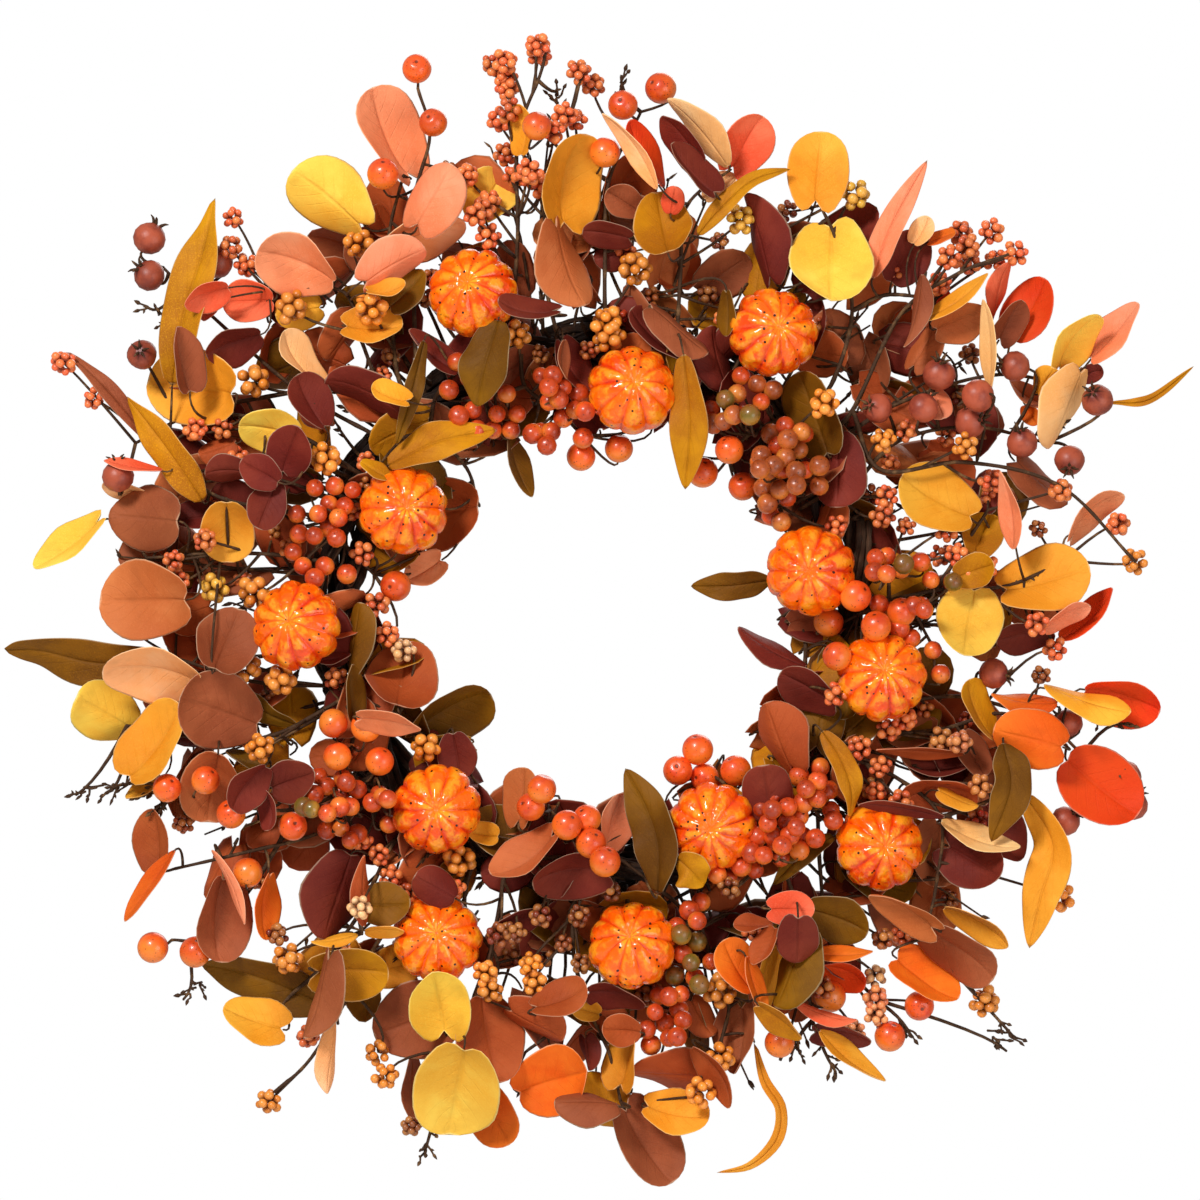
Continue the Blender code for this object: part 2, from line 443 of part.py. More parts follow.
def pumpkin_body(centre, sideways, upwards, grow=0.0):
    """A squat lobed pumpkin whose crown faces the front, turned a little to one side."""
    sides = 2 * PUMPKIN_LOBES
    yaw = math.radians(sideways)
    pitch = math.radians(upwards)
    axis = Vector((math.sin(yaw), -math.cos(yaw) * math.cos(pitch), math.sin(pitch))).normalized()
    across = axis.cross(Vector((0.0, 0.0, 1.0))).normalized()
    up = across.cross(axis)
    half = PUMPKIN_DEPTH / 2.0 + grow
    rings = (-0.78, -0.30, 0.34, 0.80)
    points = [centre - axis * half * 0.86]
    for ring in rings:
        spread = math.sqrt(1.0 - ring * ring) ** 0.8
        for step in range(sides):
            dent = 1.0 - LOBE_DEPTH * (step % 2)
            turn = 2.0 * math.pi * step / sides
            out = (PUMPKIN_RADIUS + grow) * spread * dent
            points.append(centre + axis * half * ring
                          + out * (math.cos(turn) * across + math.sin(turn) * up))
    points.append(centre + axis * half * 0.78)
    faces = []
    top = len(points) - 1
    last = 1 + (len(rings) - 1) * sides
    for step in range(sides):
        after = (step + 1) % sides
        faces.append((0, 1 + step, 1 + after))
        faces.append((top, last + after, last + step))
        for ring in range(len(rings) - 1):
            here = 1 + ring * sides
            there = here + sides
            faces.append((here + step, there + step, there + after, here + after))
    return Solid(points, faces, bulky=True)


def core_point(point):
    """The nearest point of the circle through the middle of the vines."""
    flat = Vector((point.x, 0.0, point.z - RING_CENTRE_Z))
    flat.normalize()
    return Vector((0.0, 0.0, RING_CENTRE_Z)) + flat * RING_RADIUS


def vine(number):
    """One strand of the ring, which winds round the middle circle with the others."""
    points = []
    for step in range(VINE_STEPS):
        around = 2.0 * math.pi * step / VINE_STEPS
        outward = Vector((math.sin(around), 0.0, math.cos(around)))
        front = Vector((0.0, -1.0, 0.0))
        wind = VINE_TURNS * around + 2.0 * math.pi * number / VINE_COUNT
        centre = Vector((0.0, 0.0, RING_CENTRE_Z)) + outward * RING_RADIUS
        centre += VINE_ORBIT * (math.cos(wind) * outward + math.sin(wind) * front)
        for side in range(VINE_SIDES):
            angle = 2.0 * math.pi * side / VINE_SIDES
            points.append(centre + VINE_RADIUS * (math.cos(angle) * outward
                                                  + math.sin(angle) * front))
    return Solid(points, grid_faces(VINE_STEPS, VINE_SIDES, closed=True))


def ring_tie(degrees):
    """A binding of split cane once round the vines."""
    around = math.radians(degrees)
    outward = Vector((math.sin(around), 0.0, math.cos(around)))
    forward = Vector((math.cos(around), 0.0, -math.sin(around)))
    front = Vector((0.0, -1.0, 0.0))
    centre = Vector((0.0, 0.0, RING_CENTRE_Z)) + outward * RING_RADIUS
    loop = SECTION_RADIUS + TOUCH_GAP + TIE_RADIUS
    steps = 16
    sides = 4
    points = []
    for step in range(steps):
        angle = 2.0 * math.pi * step / steps
        out = math.cos(angle) * outward + math.sin(angle) * front
        for side in range(sides):
            turn = 2.0 * math.pi * side / sides
            points.append(centre + (loop + TIE_RADIUS * math.cos(turn)) * out
                          + 2.0 * TIE_RADIUS * math.sin(turn) * forward)
    faces = [tuple(reversed(face)) for face in grid_faces(steps, sides, closed=True)]
    return Solid(points, faces)


def leaf_shape(row, index):
    """Work out a leaf's true size and lie from how long and wide it looks from the front."""
    _, x, z, heading, length, width, lift = row
    side = 1.0 if index % 2 else -1.0
    length *= LEAF_SCALE
    width *= LEAF_SCALE
    pitch = math.acos(min(1.0, max(length * LEAF_RATIO / width, math.cos(math.radians(48.0)))))
    roll = math.acos(max(min(1.0, width / (length * LEAF_RATIO)), math.cos(math.radians(55.0))))
    true_length = length / math.cos(pitch) * MM
    true_width = width / math.cos(roll) * MM
    angle = math.radians(heading)
    ahead = Vector((math.cos(angle), 0.0, math.sin(angle)))
    flat = Vector((-math.sin(angle), 0.0, math.cos(angle)))
    along = ahead * math.cos(pitch) + Vector((0.0, -math.sin(pitch) * side, 0.0))
    across = flat * math.cos(roll) + along.cross(flat) * math.sin(roll) * side
    return plan(x, z, lift), along, across, along.cross(across), true_length, true_width


def leaf_stations(row, index, shift):
    """The three stations of a leaf's plate: base, middle and tip."""
    centre, along, across, normal, length, width = leaf_shape(row, index)
    centre = centre - Vector((0.0, shift, 0.0))
    return [(centre + along * length * place, across, normal, width * share / 2.0)
            for place, share in ((-0.5, 0.34), (-0.04, 1.0), (0.5, 0.38))]


def blade_stations(row, index, shift):
    """Stations of a long leaf along its curved middle line."""
    _, width, lift, line = row
    if len(line) == 2:
        line = (line[0], ((line[0][0] + line[1][0]) / 2.0, (line[0][1] + line[1][1]) / 2.0), line[1])
    side = 1.0 if index % 2 else -1.0
    last = len(line) - 1
    places = []
    for step, (x, z) in enumerate(line):
        bulge = 6.0 * math.sin(math.pi * step / last)
        places.append(plan(x, z, lift + bulge) - Vector((0.0, shift, 0.0)))
    stations = []
    for step, place in enumerate(places):
        along = (places[min(step + 1, last)] - places[max(step - 1, 0)]).normalized()
        flat = Vector((0.0, -1.0, 0.0)).cross(along).normalized()
        lean = math.radians(22.0) * side
        across = flat * math.cos(lean) + along.cross(flat) * math.sin(lean)
        share = 0.12 + 0.88 * math.sin(math.pi * (0.06 + 0.90 * step / last))
        stations.append((place, across, along.cross(across), LEAF_SCALE * width * MM * share / 2.0))
    return stations


# ---------------------------------------------------------------- placing

def clear_of(solid, nodes, owner, grown=None, own_bodies=True):
    """True when a solid lies clear of every piece already placed."""
    for node in nodes:
        if node is owner:
            if own_bodies and any(solid.meets(other) for other in node.bodies):
                return False
            continue
        tested = solid if node.fixed or grown is None else grown
        if any(tested.meets(other) for other in node.solids()):
            return False
    return True


def root_path(start, radius, sides, ring):
    """Carry a stem on from its first point towards the vines, short of touching them."""
    aim = core_point(start) - start
    reach = aim.length
    aim.normalize()
    length = 0.0
    step = TOUCH_GAP / 2.0
    while length < reach:
        end = start + aim * (length + step)
        rim = tube([end - aim * step, end], radius, sides).points[-sides:] + [end]
        gaps = [solid.tree.find_nearest(point)[3] for node in ring for solid in node.bodies
                for point in rim]
        if min(gaps) < TOUCH_GAP:
            break
        length += max(step, min(gaps) - TOUCH_GAP)
    return start + aim * length if length > 2.0 * radius else None


def offsets():
    """Small moves to try for a spray's stems, the nearest first."""
    moves = [(0.0, 0.0, 0.0)]
    for reach in (3.0, 6.0, 9.0, 12.0):
        for step in range(8):
            angle = math.pi * step / 4.0
            moves.append((reach * math.cos(angle), reach * math.sin(angle), 0.0))
    lifts = (0.0, 2.0, -2.0, 4.0, -4.0, 7.0, 10.0, 14.0, 18.0, 24.0)
    return sorted(((x, z, lift) for x, z, _ in moves for lift in lifts),
                  key=lambda move: math.hypot(move[0], move[1]) + abs(move[2]))


def place_stems(node, stems, nodes, ring):
    """Lay a spray's stems, all moved together until they are clear, and root them."""
    for dx, dz, rise in offsets():
        paths = [[plan(x + dx, z + dz, lift + rise) for x, z, lift in stem] for stem in stems]
        root = root_path(paths[0][0], STEM_RADIUS, 4, ring)
        if root is None:
            continue
        paths[0].insert(0, root)
        bare = [tube(path, STEM_RADIUS, 4) for path in paths]
        grown = [tube(path, STEM_RADIUS + CLEARANCE, 4) for path in paths]
        if all(clear_of(solid, nodes, node, wide) for solid, wide in zip(bare, grown)):
            node.stems.extend(bare)
            node.paths = paths
            return
    raise RuntimeError("no clear way for the stems of " + node.name)


def points_on(paths, start):
    """Points along the stems, the nearest to a starting point first."""
    found = []
    for path in paths:
        for here, there in zip(path, path[1:]):
            steps = max(1, round((there - here).length / 0.007))
            found.extend(here.lerp(there, (step + 0.5) / steps) for step in range(steps))
    found.sort(key=lambda point: (point - start).length)
    return found[:12]


def stalk_for(node, start, nodes, bends):
    """A thin stalk from a leaf or berry to its stem, straight or with one bend."""
    for target in points_on(node.paths, start):
        ways = [[start, target]]
        if bends:
            for reach in (0.006, 0.012):
                for step in range(8):
                    angle = math.pi * step / 4.0
                    elbow = start.lerp(target, 0.5)
                    elbow += Vector((reach * math.cos(angle), 0.0, reach * math.sin(angle)))
                    ways.append([start, elbow, target])
        for way in ways:
            grown = tube(way, STALK_RADIUS + CLEARANCE, 3)
            if clear_of(grown, nodes, node, own_bodies=False):
                return tube(way, STALK_RADIUS, 3)
    return None


def place_part(node, make, start_of, nodes):
    """Move a leaf or berry forward from where it should lie until it and its stalk are clear."""
    for bends, reach in ((False, 0.012), (True, 0.075)):
        for step in range(round(reach / STEP_FORWARD) + 1):
            shift = step * STEP_FORWARD
            grown = make(shift, CLEARANCE)
            if grown.high[1] > BACK_PLANE or not clear_of(grown, nodes, node):
                continue
            stalk = stalk_for(node, start_of(shift), nodes, bends)
            if stalk is not None:
                node.bodies.append(make(shift, 0.0))
                node.stems.append(stalk)
                return
    raise RuntimeError("no clear place for a part of " + node.name)


def leaf_maker(row, index):
    def make(shift, grow):
        return plate(leaf_stations(row, index, shift), grow)

    def start(shift):
        base, middle, _ = leaf_stations(row, index, shift)
        return base[0].lerp(middle[0], 0.25)

    return row[6], make, start


def blade_maker(row, index):
    def make(shift, grow):
        return plate(blade_stations(row, index, shift), grow)

    def start(shift):
        base, after = blade_stations(row, index, shift)[:2]
        return base[0].lerp(after[0], 0.15)

    return row[2], make, start


def ball_maker(row, radius, sides):
    def make(shift, grow):
        return ball(plan(*row) - Vector((0.0, shift, 0.0)), radius + grow, sides)

    def start(shift):
        return plan(*row) - Vector((0.0, shift, 0.0))

    return row[2], make, start


def parts_of(spray):
    """Every leaf and berry of a spray, as lift, shape maker and stalk start."""
    parts = [leaf_maker(row, index) for index, row in enumerate(spray.get("leaves", ()))]
    parts += [blade_maker(row, index) for index, row in enumerate(spray.get("blades", ()))]
    sizes = (("berries", BERRY_RADIUS), ("small", SMALL_BERRY_RADIUS), ("hips", HIP_RADIUS),
             ("beads", BEAD_LUMP_RADIUS))
    for key, radius in sizes:
        parts += [ball_maker(row, radius, 4 if key in ("small", "beads") else 5)
                  for row in spray.get(key, ())]
    return parts


# ---------------------------------------------------------------- the wreath

def build_ring():
    nodes = []
    for number in range(VINE_COUNT):
        node = Node(f"vine_{number + 1}", "vine", fixed=True)
        node.bodies.append(vine(number))
        nodes.append(node)
    for number, degrees in enumerate(TIE_ANGLES, 1):
        node = Node(f"ring_tie_{number}", "tie", fixed=True)
        node.bodies.append(ring_tie(degrees))
        nodes.append(node)
    return nodes


def build_pumpkins(ring):
    nodes = []
    for number, (x, z, lift, sideways, upwards) in enumerate(PUMPKINS, 1):
        node = Node(f"pumpkin_{number:02d}", "pumpkin")
        centre = plan(x, z, lift)
        while not clear_of(pumpkin_body(centre, sideways, upwards, CLEARANCE), ring + nodes, node):
            centre.y -= STEP_FORWARD
        end = root_path(centre, PICK_RADIUS, 5, ring)
        node.bodies.append(pumpkin_body(centre, sideways, upwards))
        node.stems.append(tube([centre, end], PICK_RADIUS, 5))
        nodes.append(node)
    return nodes


def build_sprays(ring, pumpkins):
    """Root every stem first, then lay leaves and berries from the back to the front."""
    groups = (("leaf_spray_{:02d}", "rust", LEAF_SPRAYS),
              ("long_leaf_spray_{}", "mustard", LONG_LEAF_SPRAYS),
              ("berry_branch_{:02d}", "berry", BERRY_BRANCHES),
              ("hip_branch_{}", "hip", HIP_BRANCHES),
              ("bead_sprig_{}", "bead", BEAD_SPRIGS))
    nodes = ring + pumpkins
    waiting = []
    for pattern, colour, sprays in groups:
        for number, spray in enumerate(sprays, 1):
            first = spray["leaves"][0][0] if "leaves" in spray else colour
            node = Node(pattern.format(number), first)
            nodes.append(node)
            place_stems(node, spray["stems"], nodes, ring)
            waiting.extend((lift, len(waiting) + count, node, make, start)
                           for count, (lift, make, start) in enumerate(parts_of(spray)))
    waiting.sort(key=lambda entry: entry[:2])
    for _, _, node, make, start in waiting:
        place_part(node, make, start, nodes)
    return nodes


def material(name):
    shader_material = bpy.data.materials.new(name)
    shader_material.use_nodes = True
    shader = shader_material.node_tree.nodes["Principled BSDF"]
    shader.inputs["Base Color"].default_value = (*COLOURS[name], 1.0)
    shader.inputs["Metallic"].default_value = 0.0
    shader.inputs["Roughness"].default_value = 0.22 if name == "pumpkin" else 0.6
    return shader_material


def mesh_object(name, solid):
    mesh = bpy.data.meshes.new(name)
    mesh.from_pydata(solid.points, [], solid.faces)
    mesh.validate()
    return bpy.data.objects.new(name, mesh)


def join_node(node, shader_material):
    """Join a node's solids into one closed body with a Boolean union."""
    solids = node.solids()
    piece = mesh_object(node.name, solids[0])
    bpy.context.scene.collection.objects.link(piece)
    if len(solids) > 1:
        others = bpy.data.collections.new(node.name + "_parts")
        for number, solid in enumerate(solids[1:]):
            others.objects.link(mesh_object(f"{node.name}_part_{number}", solid))
        union = piece.modifiers.new("Union", "BOOLEAN")
        union.operation = "UNION"
        union.operand_type = "COLLECTION"
        union.solver = "EXACT"
        union.collection = others
        bpy.context.view_layer.update()
        evaluated = piece.evaluated_get(bpy.context.evaluated_depsgraph_get())
        joined = bpy.data.meshes.new_from_object(evaluated)
        piece.modifiers.clear()
        piece.data = joined
        for other in list(others.objects):
            bpy.data.objects.remove(other)
        bpy.data.collections.remove(others)
    piece.data.materials.clear()
    piece.data.materials.append(shader_material)
    return piece


def main():
    for old in list(bpy.data.objects):
        bpy.data.objects.remove(old)
    ring = build_ring()
    nodes = build_sprays(ring, build_pumpkins(ring))
    materials = {name: material(name) for name in COLOURS}
    for node in nodes:
        join_node(node, materials[node.colour])


main()
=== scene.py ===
"""Harvest door wreath: the looks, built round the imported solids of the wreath.

The wreath hangs on a door: +Z is up, +X is to the right and the front looks towards -Y.
Plan places are millimetres from the middle of the ring, x to the right and z up. "lift" is how
far a piece stands in front of the middle of the vines. Every leaf and berry is laid where its
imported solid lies, and the smaller ones that have no solid are laid on top of what is behind them.
"""
import math
from collections import Counter

import bpy
import numpy as np
from bpy.props import FloatProperty, FloatVectorProperty, IntProperty, PointerProperty
from mathutils import Matrix, Vector
from mathutils.bvhtree import BVHTree


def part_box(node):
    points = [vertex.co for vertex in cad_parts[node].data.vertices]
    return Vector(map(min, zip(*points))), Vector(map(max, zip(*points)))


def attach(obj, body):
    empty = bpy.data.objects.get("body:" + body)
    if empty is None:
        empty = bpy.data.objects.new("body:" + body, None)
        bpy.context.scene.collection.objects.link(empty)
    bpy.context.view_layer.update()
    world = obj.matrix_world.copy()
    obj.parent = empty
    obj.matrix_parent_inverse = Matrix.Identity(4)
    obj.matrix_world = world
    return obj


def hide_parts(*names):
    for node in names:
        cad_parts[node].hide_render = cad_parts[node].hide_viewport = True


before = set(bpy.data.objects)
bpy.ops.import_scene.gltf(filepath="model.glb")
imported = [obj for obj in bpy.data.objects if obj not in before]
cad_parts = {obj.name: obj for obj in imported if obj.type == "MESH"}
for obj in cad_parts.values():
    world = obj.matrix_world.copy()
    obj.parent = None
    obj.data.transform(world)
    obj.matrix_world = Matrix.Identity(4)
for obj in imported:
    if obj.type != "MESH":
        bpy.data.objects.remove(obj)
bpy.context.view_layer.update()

bl_info = {
    "name": "Harvest door wreath",
    "version": (1, 0, 0),
    "blender": (4, 5, 0),
    "location": "3D View > Sidebar > Wreath",
    "description": "A vine wreath dressed with pumpkins, autumn leaves, berries and beads",
    "category": "Add Mesh",
}

MM = 0.001
TAU = 2.0 * math.pi
GOLDEN_ANGLE = math.pi * (3.0 - math.sqrt(5.0))
FRONT = Vector((0.0, -1.0, 0.0))

# The ring and the rule that lays plan places out on it
RING_RADIUS = 0.132
PLAN_RADIUS = 132.0
VINE_RADIUS = 0.0075
VINE_ORBIT = (2.0 * VINE_RADIUS + 0.0012) / math.sqrt(3.0)
VINE_TURNS = 4
SECTION_RADIUS = VINE_ORBIT + VINE_RADIUS
RING_CENTRE_Z = -(RING_RADIUS - SECTION_RADIUS)
RING_CENTRE = Vector((0.0, 0.0, RING_CENTRE_Z))
TIE_ANGLES = (62.0, 188.0, 296.0)
SWEEP_BACK = 0.14
STEP_FORWARD = 0.0015

# The solids of the leaves, berries and pumpkins, as they were laid out
LEAF_THICKNESS = 0.0013
LEAF_RATIO = 0.82
STEM_RADIUS = 0.0015
PUMPKIN_RADIUS = 0.0215
PUMPKIN_DEPTH = 0.034
BERRY_RADIUS = 0.0071
SMALL_BERRY_RADIUS = 0.0044
HIP_RADIUS = 0.0079
BEAD_LUMP_RADIUS = 0.0046
LEAF_OUTLINE = ((-0.5, 0.34), (-0.04, 1.0), (0.5, 0.38))
LEAST_PITCH_COSINE = math.cos(math.radians(48.0))
LEAST_ROLL_COSINE = math.cos(math.radians(55.0))
BLADE_LEAN = math.radians(22.0)
BLADE_RISE = 6.0
STEM_LIFTS = (0.0, 2.0, -2.0, 4.0, -4.0, 7.0, 10.0, 14.0, 18.0, 24.0)
STEM_MOVES = ((0.0, 0.0),) + tuple(
    (reach * math.cos(math.pi * step / 4.0), reach * math.sin(math.pi * step / 4.0))
    for reach in (3.0, 6.0, 9.0, 12.0) for step in range(8))

# How near a corner or a rim of a solid has to lie to its expected place
CORNER_TOLERANCE = 0.0001
RIM_TOLERANCE = 0.00002

# The pieces that have no solid: how far in front they start, and how they are moved forward
MOST_STEPS = 26
HEAP_STEPS = 24
HEAP_CONTACT = 0.86
BUNCH_LIFT = 33.0
BUNCH_RADII = (0.0046, 0.0054)
CLUMP_LIFT = 28.0
TIP_LIFT = 30.0
TIP_FORKS = 6

# How leaves differ by chance, and how often a round leaf is cupped towards its front
LEAF_SWELL = (-0.10, 0.14)
LEAF_CUP = (0.35, 1.2)
CUPPED_SHARE = 0.7
LEAF_BEND = (-0.02, 0.10)
LEAF_CURL = (-0.02, 0.09)
LEAF_TWIST = (-0.35, 0.35)
LEAF_NOTCH = (0.03, 0.15)
BLADE_ROWS = 26
BLADE_TURN = (0.5, 1.1)
BLADE_FOLD = (0.10, 0.30)
BLADE_RIPPLES = (9.0, 14.0)

# Forks and buds of bare twigs
FORK_REACH = (0.003, 0.007)
TIP_BUD_LENGTHS = (0.0024, 0.004)
TIP_BUD_WIDTHS = (0.0008, 0.0012)
TWIG_BUD_LENGTHS = (0.003, 0.006)
TWIG_BUD_WIDTHS = (0.0007, 0.0012)

# Wires, canes and loose twigs
PICK_RADIUS = 0.0012
CANE_RADIUS = 0.0012
CANE_TURNS = 3.2
CANE_PITCH = 0.0034
CANE_POINTS = 85
LOOSE_TWIGS = 26
LOOSE_TWIG_POINTS = 16

# Where the random draws of each kind of piece start
LOOSE_TWIG_SEED = 31
TIE_SEED = 5
LEAF_SEED = 100
LONG_LEAF_SEED = 200
BERRY_SEED = 300
HIP_SEED = 400
BEAD_SEED = 500
TIP_SEED = 77
FILLER_SEED = 900

# The studio: lights with place, width and power, the floor and the camera
LIGHTS = {"key": ((-1.2, -2.4, 1.5), 0.8, 80.0), "fill": ((1.7, -2.3, -0.4), 1.8, 24.0),
          "back": ((0.6, 2.0, 1.2), 1.6, 18.0)}
WORLD_LIGHT = (1.0, 0.94, 0.86, 1.0)
WORLD_STRENGTH = 0.36
FLOOR_HALF = 9.0
FLOOR_HEIGHT = -1.5
LENS = 240.0
SEEN_WIDTH = 0.6
SEEN_PLANE = -0.03


def linear(code):
    """A colour written as six hex digits, as linear red, green and blue."""
    shades = (int(code[place:place + 2], 16) / 255.0 for place in (0, 2, 4))
    return tuple(shade / 12.92 if shade <= 0.04045 else ((shade + 0.055) / 1.055) ** 2.4
                 for shade in shades)


# Leaf colours: the body of the leaf and the tone that it turns to
LEAF_COLOURS = {
    "rust": ("A2441C", "BC5C2E"), "salmon": ("EC8052", "F6A47C"), "tan": ("B45A2C", "CC7644"),
    "brown": ("8E4628", "AC5E3A"), "maroon": ("682018", "843424"), "yellow": ("F6B438", "FFDA5C"),
    "gold": ("E28C1C", "F4AE3A"), "orange": ("E25A10", "F07C22"), "red": ("E44A14", "DC3410"),
    "coral": ("E4502C", "F27A54"), "peach": ("F6A862", "FBC692"), "mustard": ("AC660C", "D8920E"),
    "olive": ("643C06", "8A5A08"), "pale": ("F4B068", "FCD498"),
}
BERRY_COLOURS = {
    "single": ("F4661C", "D43A12"), "small": ("DA501C", "A02E0C"), "olive": ("6E5A1C", "8A4A1C"),
    "dusky": ("C0602A", "84360E"), "hip": ("AC5036", "72281E"),
}
BEAD_COLOURS = {
    "yellow": "F6BC3C", "orange": "EE8A26", "pink": "EA6238", "cream": "F2C08C", "peach": "EE9C68",
    "maroon": "7A2A1C", "tan": "B06034", "salmon": "E27C54", "red": "C02C14", "rust": "A4421F",
}


# ---------------------------------------------------------------- sizes and colours to change

def size(name, value, description):
    return FloatProperty(name=name, description=description, default=value, unit="LENGTH",
                         subtype="DISTANCE", precision=5)


def share(name, value, description):
    return FloatProperty(name=name, description=description, default=value, subtype="FACTOR",
                         min=0.0, max=2.0)


def count(name, value, description):
    return IntProperty(name=name, description=description, default=value, min=1)


def colour(name, code, description):
    return FloatVectorProperty(name=name, description=description, default=linear(code),
                               subtype="COLOR", size=3, min=0.0, max=1.0)


class WreathSizes(bpy.types.PropertyGroup):
    """Sizes of the pieces that dress the wreath."""

    twig_count: count("Twigs", 11, "Twigs twisted into each vine of the ring")
    twig_radius: size("Twig radius", 0.0017, "Mean radius of a twig of the ring")
    twig_looseness: size("Twig looseness", 0.0034, "How far the twigs stray from their places")
    leaf_thickness: size("Leaf thickness", 0.0009, "Thickness of a leaf cut from foam sheet")
    leaf_cup: share("Leaf cup", 0.36, "How deep a round leaf is cupped, of its half width")
    stem_radius: size("Stem radius", 0.00115, "Radius of a wrapped wire stem at the ring")
    stalk_radius: size("Stalk radius", 0.0006, "Radius of the stalk of a leaf or berry")
    pumpkin_ribs: count("Pumpkin ribs", 10, "Ribs round each pumpkin")
    pumpkin_groove: share("Pumpkin groove", 0.12, "Depth of the grooves between the ribs")
    bead_share: share("Bead size", 0.50, "Radius of a bead, of the radius of its clump")
    filler_leaves: count("Filler leaves", 270, "Small dark leaves behind the others")
    filler_clumps: count("Filler beads", 90, "Clumps of dusky beads behind the leaves")
    filler_twigs: count("Filler twigs", 130, "Bare twigs that stand out from the ring")


class WreathColours(bpy.types.PropertyGroup):
    """Colours of the finishes that are not leaf, berry or bead colours."""

    bark: colour("Bark", "2A1A12", "Vine twigs of the ring")
    bark_light: colour("Bark streaks", "8A7A62", "Weathered streaks on the twigs")
    wrap: colour("Stem wrap", "402814", "Paper wrap of the stems")
    wrap_light: colour("Stem wrap wear", "84603A", "Rubbed edges of the wrap")
    pumpkin: colour("Pumpkin", "FF6604", "Lacquered pumpkins")
    # painted shade: the red that the pumpkin grooves are turned to, also used for red cloudy patches
    pumpkin_painted_shade: colour("Pumpkin grooves", "E23402", "Grooves and lower sides of the pumpkins")
    # painted highlight: the yellow-orange that the rib crests and the crown are turned to
    pumpkin_painted_highlight: colour("Pumpkin crests", "FFA820", "Crests of the ribs")
    speck: colour("Specks", "3A1408", "Specks on pumpkins and berries")
    floor: colour("Floor", "F4F2EE", "Studio floor")


# ---------------------------------------------------------------- node trees

class Wire:
    """A socket of a node tree. Sums on it add Math nodes, so that 1 - mask works."""

    def __init__(self, tree, socket=None):
        self.tree = tree
        self.socket = socket

    def add(self, kind, settings=(), inputs=(), output=0):
        """Add a node: its settings first, then the values or links of its sockets."""
        node = self.tree.nodes.new(kind)
        for name, value in dict(settings).items():
            if name == "stops":
                set_stops(node.color_ramp, value)
            else:
                setattr(node, name, value)
        for key, value in dict(inputs).items():
            if isinstance(value, Wire):
                self.tree.links.new(value.socket, node.inputs[key])
            else:
                node.inputs[key].default_value = value
        return Wire(self.tree, node.outputs[output])

    def output(self, name):
        """Another output of the node that this socket belongs to."""
        return Wire(self.tree, self.socket.node.outputs[name])

    def math(self, operation, *values):
        return self.add("ShaderNodeMath", {"operation": operation}, enumerate(values))

    def vector(self, operation, *values, output=0):
        return self.add("ShaderNodeVectorMath", {"operation": operation}, enumerate(values), output)

    def scaled(self, factor):
        return self.add("ShaderNodeVectorMath", {"operation": "SCALE"}, {0: self, 3: factor})

    def to(self, other, mask, blend="MIX"):
        """This colour turned into another one where the mask is 1."""
        settings = {"data_type": "RGBA", "blend_type": blend, "clamp_factor": True}
        return self.add("ShaderNodeMix", settings, {0: mask, 6: self, 7: other}, 2)

    def ramp(self, low, painted_highlight, smooth=True):
        """0 below the first value, 1 above the second, and a smooth step between them."""
        settings = {"interpolation_type": "SMOOTHSTEP" if smooth else "LINEAR", "clamp": True}
        return self.add("ShaderNodeMapRange", settings, {0: self, 1: low, 2: painted_highlight, 3: 0.0, 4: 1.0})

    def parts(self):
        split = self.add("ShaderNodeSeparateXYZ", (), {0: self})
        return split, split.output("Y"), split.output("Z")

    def joined(self, x, y, z):
        return self.add("ShaderNodeCombineXYZ", (), {0: x, 1: y, 2: z})

    def noise(self, place, scale, detail=2.0, roughness=0.5, output="Fac"):
        inputs = {"Vector": place, "Scale": scale, "Detail": detail, "Roughness": roughness}
        return self.add("ShaderNodeTexNoise", (), inputs, output)

    def __add__(self, other):
        return self.math("ADD", self, other)

    __radd__ = __add__

    def __mul__(self, other):
        return self.math("MULTIPLY", self, other)

    __rmul__ = __mul__

    def __sub__(self, other):
        return self.math("SUBTRACT", self, other)

    def __rsub__(self, other):
        return self.math("SUBTRACT", other, self)

    def __truediv__(self, other):
        return self.math("DIVIDE", self, other)

    def __pow__(self, other):
        return self.math("POWER", self, other)

    def __abs__(self):
        return self.math("ABSOLUTE", self)


def set_stops(ramp, stops):
    """Give a colour ramp its stops: place and colour."""
    while len(ramp.elements) < len(stops):
        ramp.elements.new(1.0)
    for element, (place, shade) in zip(ramp.elements, stops):
        element.position = place
        element.color = (*shade, 1.0)


